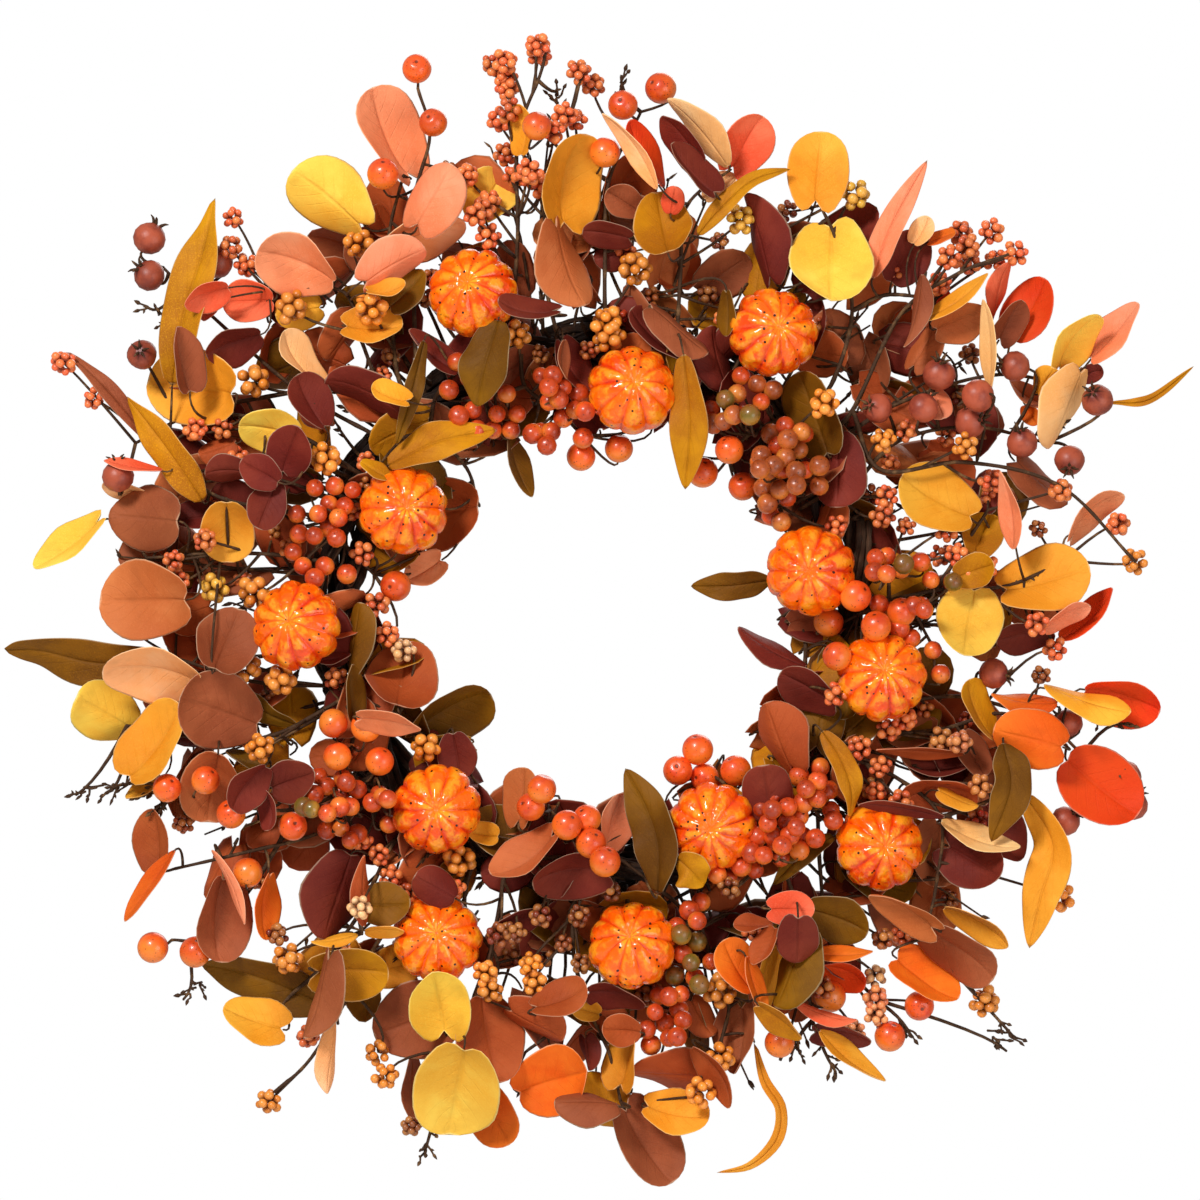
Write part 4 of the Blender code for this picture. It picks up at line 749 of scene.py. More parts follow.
# stems: x, z, lift of its places, from the ring or from the stem before it.
# leaves: colour, x, z, heading in degrees from base to tip, length, width, lift.
# blades: colour, width, lift of a long leaf, then the x, z of its middle line from base to tip.
# tops: small leaves that have no solid and lie on top of the others, given as leaves are.
LEAF_SPRAYS = sprays("""
stems -100 118 24, -104 165 28, -104 190 30, -97 218 34
leaves yellow -134 207 141 46 34 34, salmon -104 239 114 50 30 30, salmon -81 206 60 37 28 38
leaves peach -85 188 20 40 20 30, yellow -54 208 60 27 27 22
tops rust -108 195 120 18 12 26

stems -104 97 24, -118 135 28, -128 160 30, -165 160 30
leaves salmon -150 173 157 42 30 38, salmon -102 173 30 36 22 40, coral -175 155 180 26 22 30
leaves gold -150 150 190 24 20 24, gold -112 142 0 30 20 24, peach -148 125 128 34 14 34
leaves olive -95 160 45 26 18 18
tops coral -196 155 180 14 20 24, gold -105 160 10 20 9 34, coral -195 157 200 24 14 20
tops maroon -182 133 200 30 18 16

stems -122 70 24, -150 88 26, -186 98 28, -214 84 28
leaves gold -203 112 170 44 40 26, brown -206 125 100 34 15 40, yellow -164 90 170 31 23 34
leaves maroon -153 80 70 25 24 46, maroon -168 69 150 22 18 50, maroon -165 51 250 23 20 46
leaves maroon -185 70 180 22 14 42
tops coral -232 72 170 30 6 30, rust -190 80 200 20 14 30, maroon -143 104 120 30 20 18

stems -136 24 24, -165 28 26, -198 28 28, -226 26 28
leaves brown -226 46 175 36 34 34, maroon -203 47 185 22 15 26, gold -185 40 -90 30 28 36
leaves yellow -266 33 216 42 16 26, tan -226 5 180 44 41 36, rust -205 -2 200 24 22 24
leaves brown -185 -16 70 32 32 46
tops peach -236 60 160 26 10 26

stems -128 -45 24, -160 -62 26, -188 -66 28, -214 -62 28, -236 -58 28
leaves peach -223 -31 172 48 27 44, yellow -248 -51 150 33 31 30, gold -221 -66 55 46 28 40
leaves brown -190 -50 160 42 40 32, tan -192 -88 -100 34 34 34, maroon -152 -85 20 24 22 46
leaves maroon -174 -88 230 28 18 50, maroon -164 -100 -80 20 10 42
tops gold -228 -90 210 20 8 26, olive -176 -75 160 22 8 30

stems -112 -95 24, -140 -112 26, -178 -122 28, -212 -130 28
leaves rust -222 -115 95 31 19 30, orange -224 -138 235 44 9 36, brown -189 -155 -95 43 27 34
leaves salmon -183 -138 -67 41 6 44, orange -166 -149 -93 33 12 34

stems -104 -120 22, -118 -150 26, -133 -176 28, -130 -208 30
stems -133 -176 28, -150 -190 28, -158 -198 28
leaves maroon -131 -143 -110 46 30 36, rust -117 -140 90 36 9 44, olive -107 -147 0 28 22 30
leaves mustard -123 -181 0 38 28 24, gold -101 -179 20 28 22 20, brown -137 -193 -103 44 16 42
leaves peach -134 -223 -98 38 10 44, gold -172 -205 160 33 22 30
blades olive 28 24, -135 -200, -168 -186, -200 -178
tops gold -106 -160 0 20 7 26, gold -131 -165 190 24 6 34, gold -120 -171 -75 16 5 32

stems -46 -130 22, -52 -165 26, -62 -195 28, -70 -220 30, -80 -248 30
leaves brown -90 -206 200 42 40 24, yellow -79 -196 100 33 32 36, rust -54 -215 -80 45 34 34
leaves rust -30 -206 -25 32 18 28, yellow -70 -240 -100 46 45 44, orange -53 -254 -60 35 26 26
leaves brown -92 -242 -85 36 13 22, maroon -81 -138 150 24 20 20

stems -10 -134 22, -12 -170 26, -4 -200 28, 6 -222 30, 12 -247 32
stems -9 -185 27, -22 -210 28, -36 -222 28
leaves rust -18 -194 20 29 18 34, maroon 10 -193 -10 30 13 26, rust 5 -205 -40 26 18 22
leaves rust 12 -210 175 20 17 36, gold 14 -224 80 32 16 24, orange -21 -236 20 38 36 34
leaves mustard 1 -247 150 34 26 26, brown -5 -247 178 33 15 46, brown 25 -268 -58 46 30 40
tops gold -6 -200 160 16 12 20, maroon -4 -222 -80 18 10 32

stems 46 -136 20, 54 -165 26, 66 -195 28, 60 -222 30, 50 -244 32
leaves rust 38 -232 175 42 22 30, rust 59 -232 -55 36 12 42, gold 40 -252 -10 33 22 38
leaves brown 71 -215 -95 36 19 30, rust 52 -205 -60 22 16 22, orange 70 -178 120 30 20 40
leaves orange 79 -187 -72 30 9 46
blades gold 7 30, 79 -217, 84 -236, 92 -250, 90 -266, 77 -279, 60 -283

stems 86 -112 22, 98 -142 26, 104 -172 28, 108 -206 30
leaves gold 86 -182 -105 42 12 30, olive 99 -180 -110 42 20 34, maroon 100 -164 -90 24 22 38
leaves mustard 91 -205 -38 28 11 46, coral 97 -149 0 23 18 50, olive 121 -155 -20 32 24 34
leaves orange 122 -172 0 32 8 42, red 122 -182 -15 28 14 30, coral 113 -202 -20 34 7 44
leaves maroon 123 -213 -10 30 13 36, gold 127 -224 -38 42 10 40
tops rust 84 -168 240 22 10 24, rust 78 -157 180 20 8 40

stems 122 -72 22, 150 -84 28, 172 -104 30, 170 -138 30, 164 -165 32
stems 172 -104 30, 190 -98 32, 205 -92 34
leaves tan 153 -150 150 38 14 50, brown 180 -170 -33 47 22 40, orange 165 -185 -35 38 22 34
leaves gold 191 -158 -30 38 12 30, brown 172 -122 -90 34 28 22, maroon 189 -126 -30 32 30 30
leaves pale 191 -114 -20 42 12 40, rust 172 -92 5 38 19 32, maroon 152 -99 170 44 7 44
blades olive 22 42, 203 -66, 207 -88, 197 -116
blades gold 22 34, 214 -92, 228 -118, 222 -145, 217 -170
tops gold 180 -95 -25 22 8 38, maroon 203 -112 -60 34 24 24

stems 136 -62 20, 172 -60 24, 205 -52 28, 236 -68 28
leaves orange 216 -64 165 37 30 40, orange 214 -46 172 34 11 32, gold 245 -46 -18 46 14 38
leaves red 264 -45 -15 40 24 28, red 253 -89 -38 46 37 34, mustard 191 -50 115 32 14 34
leaves brown 189 -73 -60 24 16 26, maroon 170 -78 180 34 14 20, rust 162 -71 177 45 6 30
leaves brown 158 -63 190 26 16 18

stems 136 2 20, 170 10 24, 205 12 28, 235 25 28
stems 170 10 24, 184 32 26, 196 50 28
leaves red 247 -3 45 37 12 26, salmon 235 -3 30 26 10 34, maroon 215 -13 190 30 16 26
leaves yellow 186 -7 -100 35 34 36, gold 225 15 15 46 33 32, gold 170 56 150 42 32 30
leaves salmon 206 50 100 40 10 34, salmon 249 49 44 35 13 28, mustard 193 38 70 22 22 26
leaves mustard 190 20 20 20 18 34

stems 120 84 22, 152 104 26, 200 118 28, 240 112 28
leaves red 217 151 60 35 24 30, brown 207 145 60 24 15 36, salmon 260 140 50 38 16 30
leaves yellow 240 135 55 35 18 36, peach 234 101 -113 44 20 34, tan 217 108 150 26 10 24
leaves pale 196 132 92 47 8 38, coral 201 160 77 31 10 34, tan 165 132 60 26 15 26
leaves maroon 121 70 -90 38 26 22, olive 108 98 110 45 26 20
blades mustard 5 26, 258 104, 278 106, 301 123
tops gold 225 115 60 16 14 28, orange 218 98 -60 12 9 26, maroon 248 119 20 14 10 24
tops salmon 171 102 -70 15 14 34

stems 118 114 22, 128 150 26, 120 185 30, 112 203 30
stems 128 150 26, 145 158 28, 170 156 30
leaves gold 111 221 85 38 32 32, yellow 117 173 -90 42 42 40, maroon 83 187 105 47 18 30
leaves maroon 155 177 60 30 24 28, gold 179 155 35 42 9 38, brown 160 149 258 38 9 42
leaves red 167 155 40 20 18 26, tan 182 145 20 28 20 30
blades salmon 15 34, 138 166, 146 190, 166 226
tops peach 92 180 150 16 12 26, peach 163 190 60 16 12 34, orange 173 187 20 15 7 32

stems 40 138 20, 42 170 26, 44 200 28, 58 216 30
leaves peach 18 230 125 47 9 40, red 24 228 120 38 13 34, maroon 42 236 128 30 14 38
leaves maroon 48 220 132 34 14 42, pale 52 240 131 46 14 34, coral 75 234 60 32 25 30
leaves mustard 33 192 100 30 30 36, brown 13 205 150 20 17 24, maroon 5 188 170 25 14 24
leaves maroon 8 178 190 20 16 20, peach 62 212 40 20 12 26, maroon 30 137 -222 38 15 24
leaves brown 40 139 -42 38 15 30, olive 65 148 -90 23 9 30
blades mustard 11 40, 50 187, 63 202, 78 215, 97 221
blades mustard 20 24, 43 128, 46 92, 44 60
tops coral 38 205 80 14 12 26

stems -20 138 20, -26 165 26, -26 195 28, -34 228 30
leaves gold -37 240 90 26 12 34, gold -14 215 80 48 30 36, tan -16 172 -72 45 24 44
leaves maroon -35 150 170 30 12 26, maroon -12 122 -60 30 16 24
tops brown -17 125 -90 20 6 40

stems -98 86 20, -84 88 24, -66 72 20, -60 54 16
stems -84 88 24, -80 108 26, -64 124 28
leaves rust -77 49 190 38 38 8, salmon -87 20 210 22 17 14, maroon -115 109 154 43 18 30
leaves maroon -82 129 139 33 12 34, olive -40 74 -72 38 10 24
blades mustard 20 34, -105 72, -80 84, -50 90
blades olive 26 30, -49 145, -56 122, -60 101
blades olive 10 36, -86 135, -92 108, -100 82
tops mustard -111 70 150 16 8 44, gold -103 107 160 20 12 24

stems -112 -62 20, -104 -60 24, -99 -52 24
stems -104 -60 24, -88 -62 22, -76 -64 20
leaves rust -98 -35 85 30 38 30, salmon -103 -56 -10 32 12 44, maroon -70 -73 -80 24 20 30
leaves olive -74 -52 30 46 26 20, olive -120 -14 80 36 14 16, olive -122 -42 95 30 10 18
tops maroon -131 -24 10 16 6 20

stems -30 -124 20, -26 -114 24, -24 -106 26
stems -30 -124 20, -10 -124 24, 6 -122 26, 24 -134 24
leaves tan -38 -93 85 29 17 34, tan -36 -123 214 38 17 44, maroon -14 -132 190 38 24 34
leaves salmon 9 -106 75 30 18 34, maroon -40 -156 200 24 12 22, olive -46 -114 150 40 26 20
blades olive 24 26, 30 -142, 30 -118, 24 -98, 14 -79
blades mustard 20 16, 40 -124, 54 -137
tops gold -57 -112 170 16 12 28

stems 112 -66 20, 104 -60 22, 100 -48 22, 104 -34 20
stems 104 -34 20, 104 -12 14, 94 8 11
stems 112 -66 20, 106 -84 22, 108 -102 24
leaves rust 92 -63 110 37 23 36, maroon 85 -91 100 30 26 24, maroon 106 -40 150 34 20 18
leaves maroon 87 -20 150 40 12 26, olive 112 -56 80 30 26 16
blades mustard 14 34, 112 -60, 122 -75, 127 -90, 126 -104
blades olive 12 26, 119 -113, 103 -122, 88 -138
blades olive 16 12, 88 15, 68 12, 47 12
""")

LONG_LEAF_SPRAYS = sprays("""
stems -128 46 22, -160 50 24, -196 60 26, -214 90 28
blades mustard 24 36, -213 112, -208 145, -198 180, -192 207
blades brown 10 30, -222 82, -247 112, -267 130
blades mustard 20 30, -197 54, -215 80, -236 107

stems -132 -38 18, -172 -36 18, -212 -24 22
blades olive 24 22, -216 -24, -250 -27, -280 -21, -299 -20
blades olive 12 16, -180 -40, -166 -52, -150 -58
""")

# berries, small: x, z, lift of the single and the small berries.
# bunches: colour, then the x, z of berries without a solid that fill up the clusters.
BERRY_BRANCHES = sprays("""
stems -90 122 24, -92 160 20, -92 205 24, -84 238 28, -90 262 30
berries -90.5 272 32, -82 244 44, -107 218 44

stems 4 142 20, 4 175 24, 6 215 28, 22 250 30
stems 6 215 28, -14 228 28, -26 238 30
berries -30 241 44, 32 262 32, 13 253 38, 4 229 40

stems -126 32 22, -134 42 28
stems -126 32 22, -112 18 20
berries -101 12 24
small -141 61 34, -131 62 34, -122 60 34, -150 48 34, -139 48 42, -129 46 40, -141 37 40, -152 29 32
bunches small, -134 53, -126 52, -134 41, -149 38, -130 36, -147 22, -136 22, -141 16, -125 18

stems -38 128 20, -36 112 26, -20 100 28, -8 88 26
stems -36 112 26, -56 106 28
berries -8 77 24, 11 81 24
small -64 116 36, -45 108 40, -62 100 34, -50 98 36, -28 117 36, -17 111 40, -24 104 38, -11 100 38
small -28 89 34
bunches small, -22 117, -24 111, -9 108, -19 105, -17 96, -6 99, -23 89, -25 82, -32 88, -7 86, -70 124
bunches small, -54 122, -74 110, -56 109, -40 98, -69 97, -52 90, -43 90, -60 90

stems 92 96 20, 84 92 26, 74 86 26, 66 76 24
stems 84 92 26, 94 74 28, 92 52 26
berries 66 80 40, 53 69 24, 73 62 24
small 72 117 32, 64 105 34, 57 100 32, 72 98 38, 82 104 36, 94 92 36, 104 88 32, 90 82 40, 81 74 36
small 92 70 42, 104 70 34, 95 56 36, 87 47 32
bunches dusky, 80 113, 88 110, 70 108, 58 93, 63 94, 76 97, 68 97, 102 89, 87 88, 95 85, 101 80, 82 77
bunches dusky, 94 76, 88 72, 81 70, 88 67, 99 69, 111 72, 83 61, 91 60, 99 62, 111 62, 85 53, 92 44
bunches olive, 64 105, 76 97

stems 132 -2 18, 146 4 26, 156 2 28, 168 -18 28
stems 146 4 26, 146 20 28
berries 129 7 40, 139 -8 46, 116 -6 24, 119.5 -23 36, 152 -1 40
small 145 27 34, 139 20 36, 152 20 36, 167 15 34, 162 2 36, 157 -14 36, 168 -20 34, 178 14 30
bunches small, 139 26, 138 19, 144 18, 141 3, 149 0, 151 -9, 158 2, 163 0, 162 24, 172 -32
bunches olive, 153 23, 178 14

stems -122 -64 20, -126 -80 26, -128 -100 28
stems -126 -80 26, -112 -92 24
berries -131.5 -56.5 42, -129.5 -73 42, -115 -58 34, -108.5 -75.5 38
small -139 -83 34, -127 -84 38, -119.5 -89.5 38, -144 -95 38, -123 -98 44, -134 -101 40, -128 -109 38
small -109 -92 32
bunches small, -125 -86, -135 -88, -128 -91, -141 -92, -128 -98, -134 -101, -135 -110, -112 -96
bunches small, -107 -93, -104 -94, -104 -107, -120 -112, -123 -115
bunches olive, -146 -98, -142 -99

stems 70 -112 14, 86 -104 26, 104 -92 28
stems 86 -104 26, 82 -124 28
stems 86 -104 26, 72 -90 22, 58 -80 22
berries 50.5 -70 26, 40.5 -80.5 26, 69.5 -80.5 26, 54 -84 20
small 83 -94 34, 94 -94 34, 85 -106 42, 95 -106 44, 89 -116 38, 80 -120 38, 92 -124 34, 79 -130 34
small 66 -134 32, 111.5 -78.5 34, 110 -88 38, 117 -100 32
bunches small, 88 -93, 82 -99, 87 -99, 95 -98, 94 -105, 101 -103, 88 -113, 96 -112, 103 -113, 109 -114
bunches small, 99 -108, 101 -120, 80 -113, 77 -121, 83 -122, 72 -128, 60 -132, 92 -117, 110 -85, 104 -89
bunches small, 116 -90, 103 -96, 118 -105, 101 -83, 110 -94

stems 30 -136 16, 44 -150 20, 46 -176 22, 36 -200 26
small 52 -146 32, 40 -158 34, 43 -172 36, 57 -176 32, 49 -184 36, 42 -192 38, 29 -201 40, 43 -205 42
small 25 -210 36, 36 -214 42
bunches small, 31 -193, 36 -193, 41 -200, 34 -207, 27 -218, 40 -213, 46 -150, 50 -155
bunches olive, 47 -176, 51 -187, 50 -166, 42 -162, 39 -183

stems -14 -124 18, -12 -112 28, -26 -98 30
stems -12 -112 28, 0 -116 32
berries -27.5 -89 46, -33 -98 38, -15 -107 44, -5 -104 38, 4 -125 42, -3 -116 38

stems -118 -86 20, -150 -100 22, -184 -98 24, -210 -92 26
stems -150 -100 22, -174 -140 24, -200 -164 26, -214 -166 28
berries -215 -89 44, -195.5 -85 46, -183 -102 40, -152 -108 40, -175 -131.5 38, -223 -169.5 34
berries -201.5 -171.5 38

stems 110 -84 18, 112 -130 20, 118 -170 20, 140 -196 24
stems 118 -170 20, 100 -200 24
berries 91.5 -217 34, 117 -194 30, 147 -214 32, 162 -199 26
""")

HIP_BRANCHES = sprays("""
stems -112 88 18, -150 110 20, -196 150 22, -218 172 24
stems -150 110 20, -200 100 20, -232 84 22
hips -225 187 30, -225 168 34, -191 175 26, -228 128 40, -240 67 40, -141 99 30

stems 126 58 20, 150 84 22, 188 92 24, 226 84 26
hips 209 122 42, 171 118 40, 190 107 42, 163 101 44, 187 94 34, 213 84 36, 237 75 34, 140 101 36
hips 250 105 34

stems 150 -46 16, 186 -44 20, 230 -60 22, 262 -96 22
hips 199 -32 28, 237 -57 20, 266 -84 24, 270 -98 22, 236 -106 22
""")

# beads: colour, x, z, lift of the clumps that have a solid.
BEAD_SPRIGS = sprays("""
stems -48 134 18, -44 190 34, -44 240 36, -33 272 38, -30 284 38
stems -44 240 36, -20 250 36, -12 272 38
beads pink -46 275 36, pink -30 283 40, pink -44 250 42, pink -36 218 42, pink -57 200 40
beads pink -54 187 40, pink -9 270 38, pink -16 248 42

stems 128 100 18, 152 148 20, 180 168 34, 206 178 36
stems 128 100 18, 142 70 24, 184 74 26, 232 62 30, 270 24 30
beads pink 176 176 40, pink 186 182 40, pink 198 190 36, pink 210 179 38, orange 143 85 40
beads orange 184 82 44, pink 232 60 36, orange 270 24 32

stems -62 -126 16, -66 -150 16, -50 -176 20, -55 -190 24
stems -62 -126 16, -100 -152 18, -140 -220 34, -162 -242 34
beads orange -56 -182 40, orange -53 -190 40, maroon -49 -162 36, orange -165 -247 36
beads orange -33 -177 36, orange -31 -187 36, orange -110 -222 34, orange -106 -234 36
""")

# clumps: colour and radius of a clump without a solid, then the x, z of each such clump
BEAD_CLUMPS = sprays("""
clumps yellow 5.6, -192 11, 130 209, 72 196
clumps orange 5.8, -120 183, -113 150, -153 152, -172 115, -136 76, -172 8, 19 171, 5 144, 6 137
clumps orange 5.8, -40 138, 113 103, 62 -190, -158 -35, -176 -28, -168 -69, -86 -69, -69 -125, -155 -175
clumps orange 5.8, 52 -241, 62 -224, 195 -197, 232 -145
clumps pink 4.6, -52 274, -45 267, -40 246, -49 246, -2 264, -11 246, -41 218, -33 218, -28 213, -54 205
clumps pink 4.6, -46 229, -61 197, -29 280
clumps pink 4.3, -45 262, -65 218, -22 239, -183 197, -184 182, -176 173, -268 124, -253 106, -201 90
clumps pink 4.3, -188 91, -181 76, -196 35, -212 25, -210 15, -117 28, -110 3, -105 -12, -131 -34
clumps pink 4.3, -72 -139, -103 -134, -95 -142, -109 -123, -118 -115, 183 190, 187 174, 200 176, 172 164
clumps pink 4.3, 155 90, 198 65, 262 43, 175 40, 180 28, 195 22, 187 18, 220 -7, 230 -20, 145 57, 143 47
clumps pink 4.3, 120 42, 119 -42, 131 -69, 142 -78, 140 -91, 152 -96, 155 -55, 146 -60, -145 -214
clumps cream 4.2, -97 -20, 140 -184, -118 -148
clumps peach 4.4, 129 -211, 140 -203
clumps salmon 4.4, 140 -195, 181 -66
clumps tan 4.4, 172 -65, 191 -88
clumps red 4.2, 191 -105
clumps rust 4.2, 143 -165, 113 -189
clumps maroon 4.0, -41 -161, -17 -167, -8 -177, -28 -153, -9 -153, -160 -163, 66 -139, 23 -116, 7 -141
clumps maroon 4.0, -93 -259
""")[0]["clumps"]

# The x, z of the bare forked twig tips
TWIG_TIPS = table_rows("-262 -93, -247 -92, -232 -95, -222 -99, -226 152, 232 92, 120 -232, "
                       "-208 -196, -87 -274, 268 -58, 102 -223, 158 -214, -20 262, 12 268, "
                       "206 -222, -238 -88, 210 -215")

# How far inwards along its sprig a clump of beads is joined on
CLUMP_REACH = 0.024

# What fills the wreath behind its sprays: bands of plan radius, colours, and ranges of lift and size
INWARD = 1.3
FILLER_LEAF_BAND = (106.0, 232.0)
FILLER_BEAD_BAND = (130.0, 236.0)
FILLER_TWIG_BAND = (136.0, 250.0)
FILLER_KINDS = ("maroon", "maroon", "maroon", "rust", "rust", "brown", "brown", "olive", "olive",
                "mustard", "tan")
FILLER_BEADS = ("maroon", "rust", "rust", "pink", "pink", "red")
FILLER_LEAF_TURN = 50.0
FILLER_LEAF_LENGTHS = (26.0, 42.0)
FILLER_LEAF_WIDTHS = (14.0, 28.0)
FILLER_LEAF_LIFTS = (2.0, 17.0)
FILLER_TWIG_LEAN = 22.0
FILLER_TWIG_LIFTS = (2.0, 24.0)
FILLER_ROOT_LIFTS = (-4.0, 8.0)
FILLER_TWIG_POINTS = 9
FILLER_BUDS = 4
FILLER_CLUMP_LIFTS = (6.0, 24.0)
FILLER_CLUMP_RADII = (0.0032, 0.0042)


# ---------------------------------------------------------------- where the solids lie

def plan(x, z, lift=0.0):
    """Turn a plan place in millimetres into a point of the wreath, swept back off the ring."""
    scale = RING_RADIUS / PLAN_RADIUS
    swept = SWEEP_BACK * abs(math.hypot(x, z) - PLAN_RADIUS)
    return Vector((x * scale, (swept - lift) * MM, RING_CENTRE_Z + z * scale))


def ring_core(point):
    """The place in the middle of the vines that is nearest to this point."""
    flat = Vector((point.x, 0.0, point.z - RING_CENTRE_Z)).normalized()
    return RING_CENTRE + flat * RING_RADIUS


def side_of(index):
    """Which way the piece with this number leans."""
    return 1.0 if index % 2 else -1.0


def solid_points(name):
    """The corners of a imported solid."""
    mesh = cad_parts[name].data
    points = np.empty(len(mesh.vertices) * 3, np.float32)
    mesh.vertices.foreach_get("co", points)
    return points.reshape(-1, 3)


def forward_shift(corners, solid, what):
    """How far forward of its layout place a leaf or berry lies, from its solid's own corners."""
    found = Counter()
    for corner in corners:
        near = ((abs(solid[:, 0] - corner[0]) < CORNER_TOLERANCE)
                & (abs(solid[:, 2] - corner[2]) < CORNER_TOLERANCE))
        steps = (corner[1] - solid[near][:, 1]) / STEP_FORWARD
        whole = np.round(steps)
        found.update(set(whole[abs(steps - whole) < 0.1].astype(int)))
    found = {step: hits for step, hits in found.items() if step >= 0}
    if not found:
        raise RuntimeError(f"{what} was not found")
    return max(found, key=lambda step: (found[step], -step)) * STEP_FORWARD


def leaf_shape(row, index):
    """A leaf's true size and lie, from how long and wide it looks from the front."""
    _, x, z, heading, length, width, lift = row
    side = side_of(index)
    pitch = math.acos(min(1.0, max(length * LEAF_RATIO / width, LEAST_PITCH_COSINE)))
    roll = math.acos(max(min(1.0, width / (length * LEAF_RATIO)), LEAST_ROLL_COSINE))
    angle = math.radians(heading)
    ahead = Vector((math.cos(angle), 0.0, math.sin(angle)))
    flat = Vector((-math.sin(angle), 0.0, math.cos(angle)))
    along = ahead * math.cos(pitch) + Vector((0.0, -math.sin(pitch) * side, 0.0))
    across = flat * math.cos(roll) + along.cross(flat) * math.sin(roll) * side
    return (plan(x, z, lift), along, across, along.cross(across),
            length / math.cos(pitch) * MM, width / math.cos(roll) * MM)


def plate_corners(stations):
    """The corners of a thin plate, four for each of its stations."""
    thick = LEAF_THICKNESS / 2.0
    return [centre + across * wide * half + normal * deep * thick
            for centre, across, normal, half in stations
            for wide, deep in ((-1, -1), (1, -1), (1, 1), (-1, 1))]


def leaf_stations(shape):
    """Middle, across, normal and half width at the ends and at the widest place of a leaf."""
    centre, along, across, normal, length, width = shape
    return [(centre + along * length * place, across, normal, width * part / 2.0)
            for place, part in LEAF_OUTLINE]


def blade_line(row):
    """The middle line of a long leaf: its places, raised in the middle."""
    _, _, lift, line = row
    if len(line) == 2:
        line = (line[0], ((line[0][0] + line[1][0]) / 2.0, (line[0][1] + line[1][1]) / 2.0), line[1])
    last = len(line) - 1
    return [plan(x, z, lift + BLADE_RISE * math.sin(math.pi * step / last))
            for step, (x, z) in enumerate(line)]


def blade_frames(places, index):
    """Across and normal of a long leaf at each place of its middle line."""
    lean = BLADE_LEAN * side_of(index)
    last = len(places) - 1
    frames = []
    for step in range(len(places)):
        along = (places[min(step + 1, last)] - places[max(step - 1, 0)]).normalized()
        flat = FRONT.cross(along).normalized()
        across = flat * math.cos(lean) + along.cross(flat) * math.sin(lean)
        frames.append((across, along.cross(across)))
    return frames


def blade_stations(row, index):
    """Middle, across, normal and half width at each place of a long leaf."""
    places = blade_line(row)
    last = len(places) - 1
    return [(place, across, normal,
             row[1] * MM * (0.12 + 0.88 * math.sin(math.pi * (0.06 + 0.90 * step / last))) / 2.0)
            for step, (place, (across, normal)) in enumerate(zip(places, blade_frames(places, index)))]


def ball_corners(centre, radius, sides):
    """The corners of a faceted ball: its poles and two rings between them."""
    corners = [centre - Vector((0.0, 0.0, radius)), centre + Vector((0.0, 0.0, radius))]
    for ring in (1, 2):
        angle = math.pi * ring / 3.0
        for step in range(sides):
            turn = TAU * (step + 0.5 * (ring % 2)) / sides
            corners.append(centre + radius * Vector((math.sin(angle) * math.cos(turn),
                                                     math.sin(angle) * math.sin(turn),
                                                     -math.cos(angle))))
    return corners


def laid_ball(row, radius, sides, branch):
    """The middle of a berry, hip or clump of beads, where its solid lies."""
    centre = plan(*row)
    corners = ball_corners(centre, radius, sides)
    centre.y -= forward_shift(corners, branch.solid, f"a berry, hip or clump of {branch.name}")
    return centre


def stem_offset(stems, solid):
    """The small move that a spray's stems were given, found from the rims of its solid."""
    best = (0, (0.0, 0.0, 0.0))
    for dx, dz in STEM_MOVES:
        for rise in STEM_LIFTS:
            hits = 0
            for stem in stems:
                for x, z, lift in stem:
                    gaps = np.linalg.norm(solid - np.array(plan(x + dx, z + dz, lift + rise)), axis=1)
                    hits += int((abs(gaps - STEM_RADIUS) < RIM_TOLERANCE).sum() >= 2)
            if hits > best[0]:
                best = (hits, (dx, dz, rise))
    return best[1]


class Ground:
    """What is already in place, for laying the small pieces on top of it."""

    def __init__(self):
        points = []
        faces = []
        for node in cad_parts.values():
            first = len(points)
            points.extend(vertex.co.copy() for vertex in node.data.vertices)
            faces.extend([first + corner for corner in face.vertices] for face in node.data.polygons)
        self.tree = BVHTree.FromPolygons(points, faces)

    def ball_clear(self, centre, radius):
        """The centre moved forward until a ball there is clear of every solid."""
        centre = centre.copy()
        for _ in range(MOST_STEPS):
            if self.tree.find_nearest(centre)[3] >= radius:
                break
            centre.y -= STEP_FORWARD
        return centre

    def plate_clear(self, shape):
        """The leaf moved forward until its plate is clear of every solid."""
        for step in range(MOST_STEPS):
            shift = Vector((0.0, -STEP_FORWARD * step, 0.0))
            corners = [corner + shift for corner in plate_corners(leaf_stations(shape))]
            faces = [(0, 1, 2, 3), (8, 9, 10, 11)]
            faces += [(ring + side, ring + (side + 1) % 4, ring + 4 + (side + 1) % 4, ring + 4 + side)
                      for ring in (0, 4) for side in range(4)]
            if not self.tree.overlap(BVHTree.FromPolygons(corners, faces)):
                break
        return shape[0] + shift


# ---------------------------------------------------------------- shapes

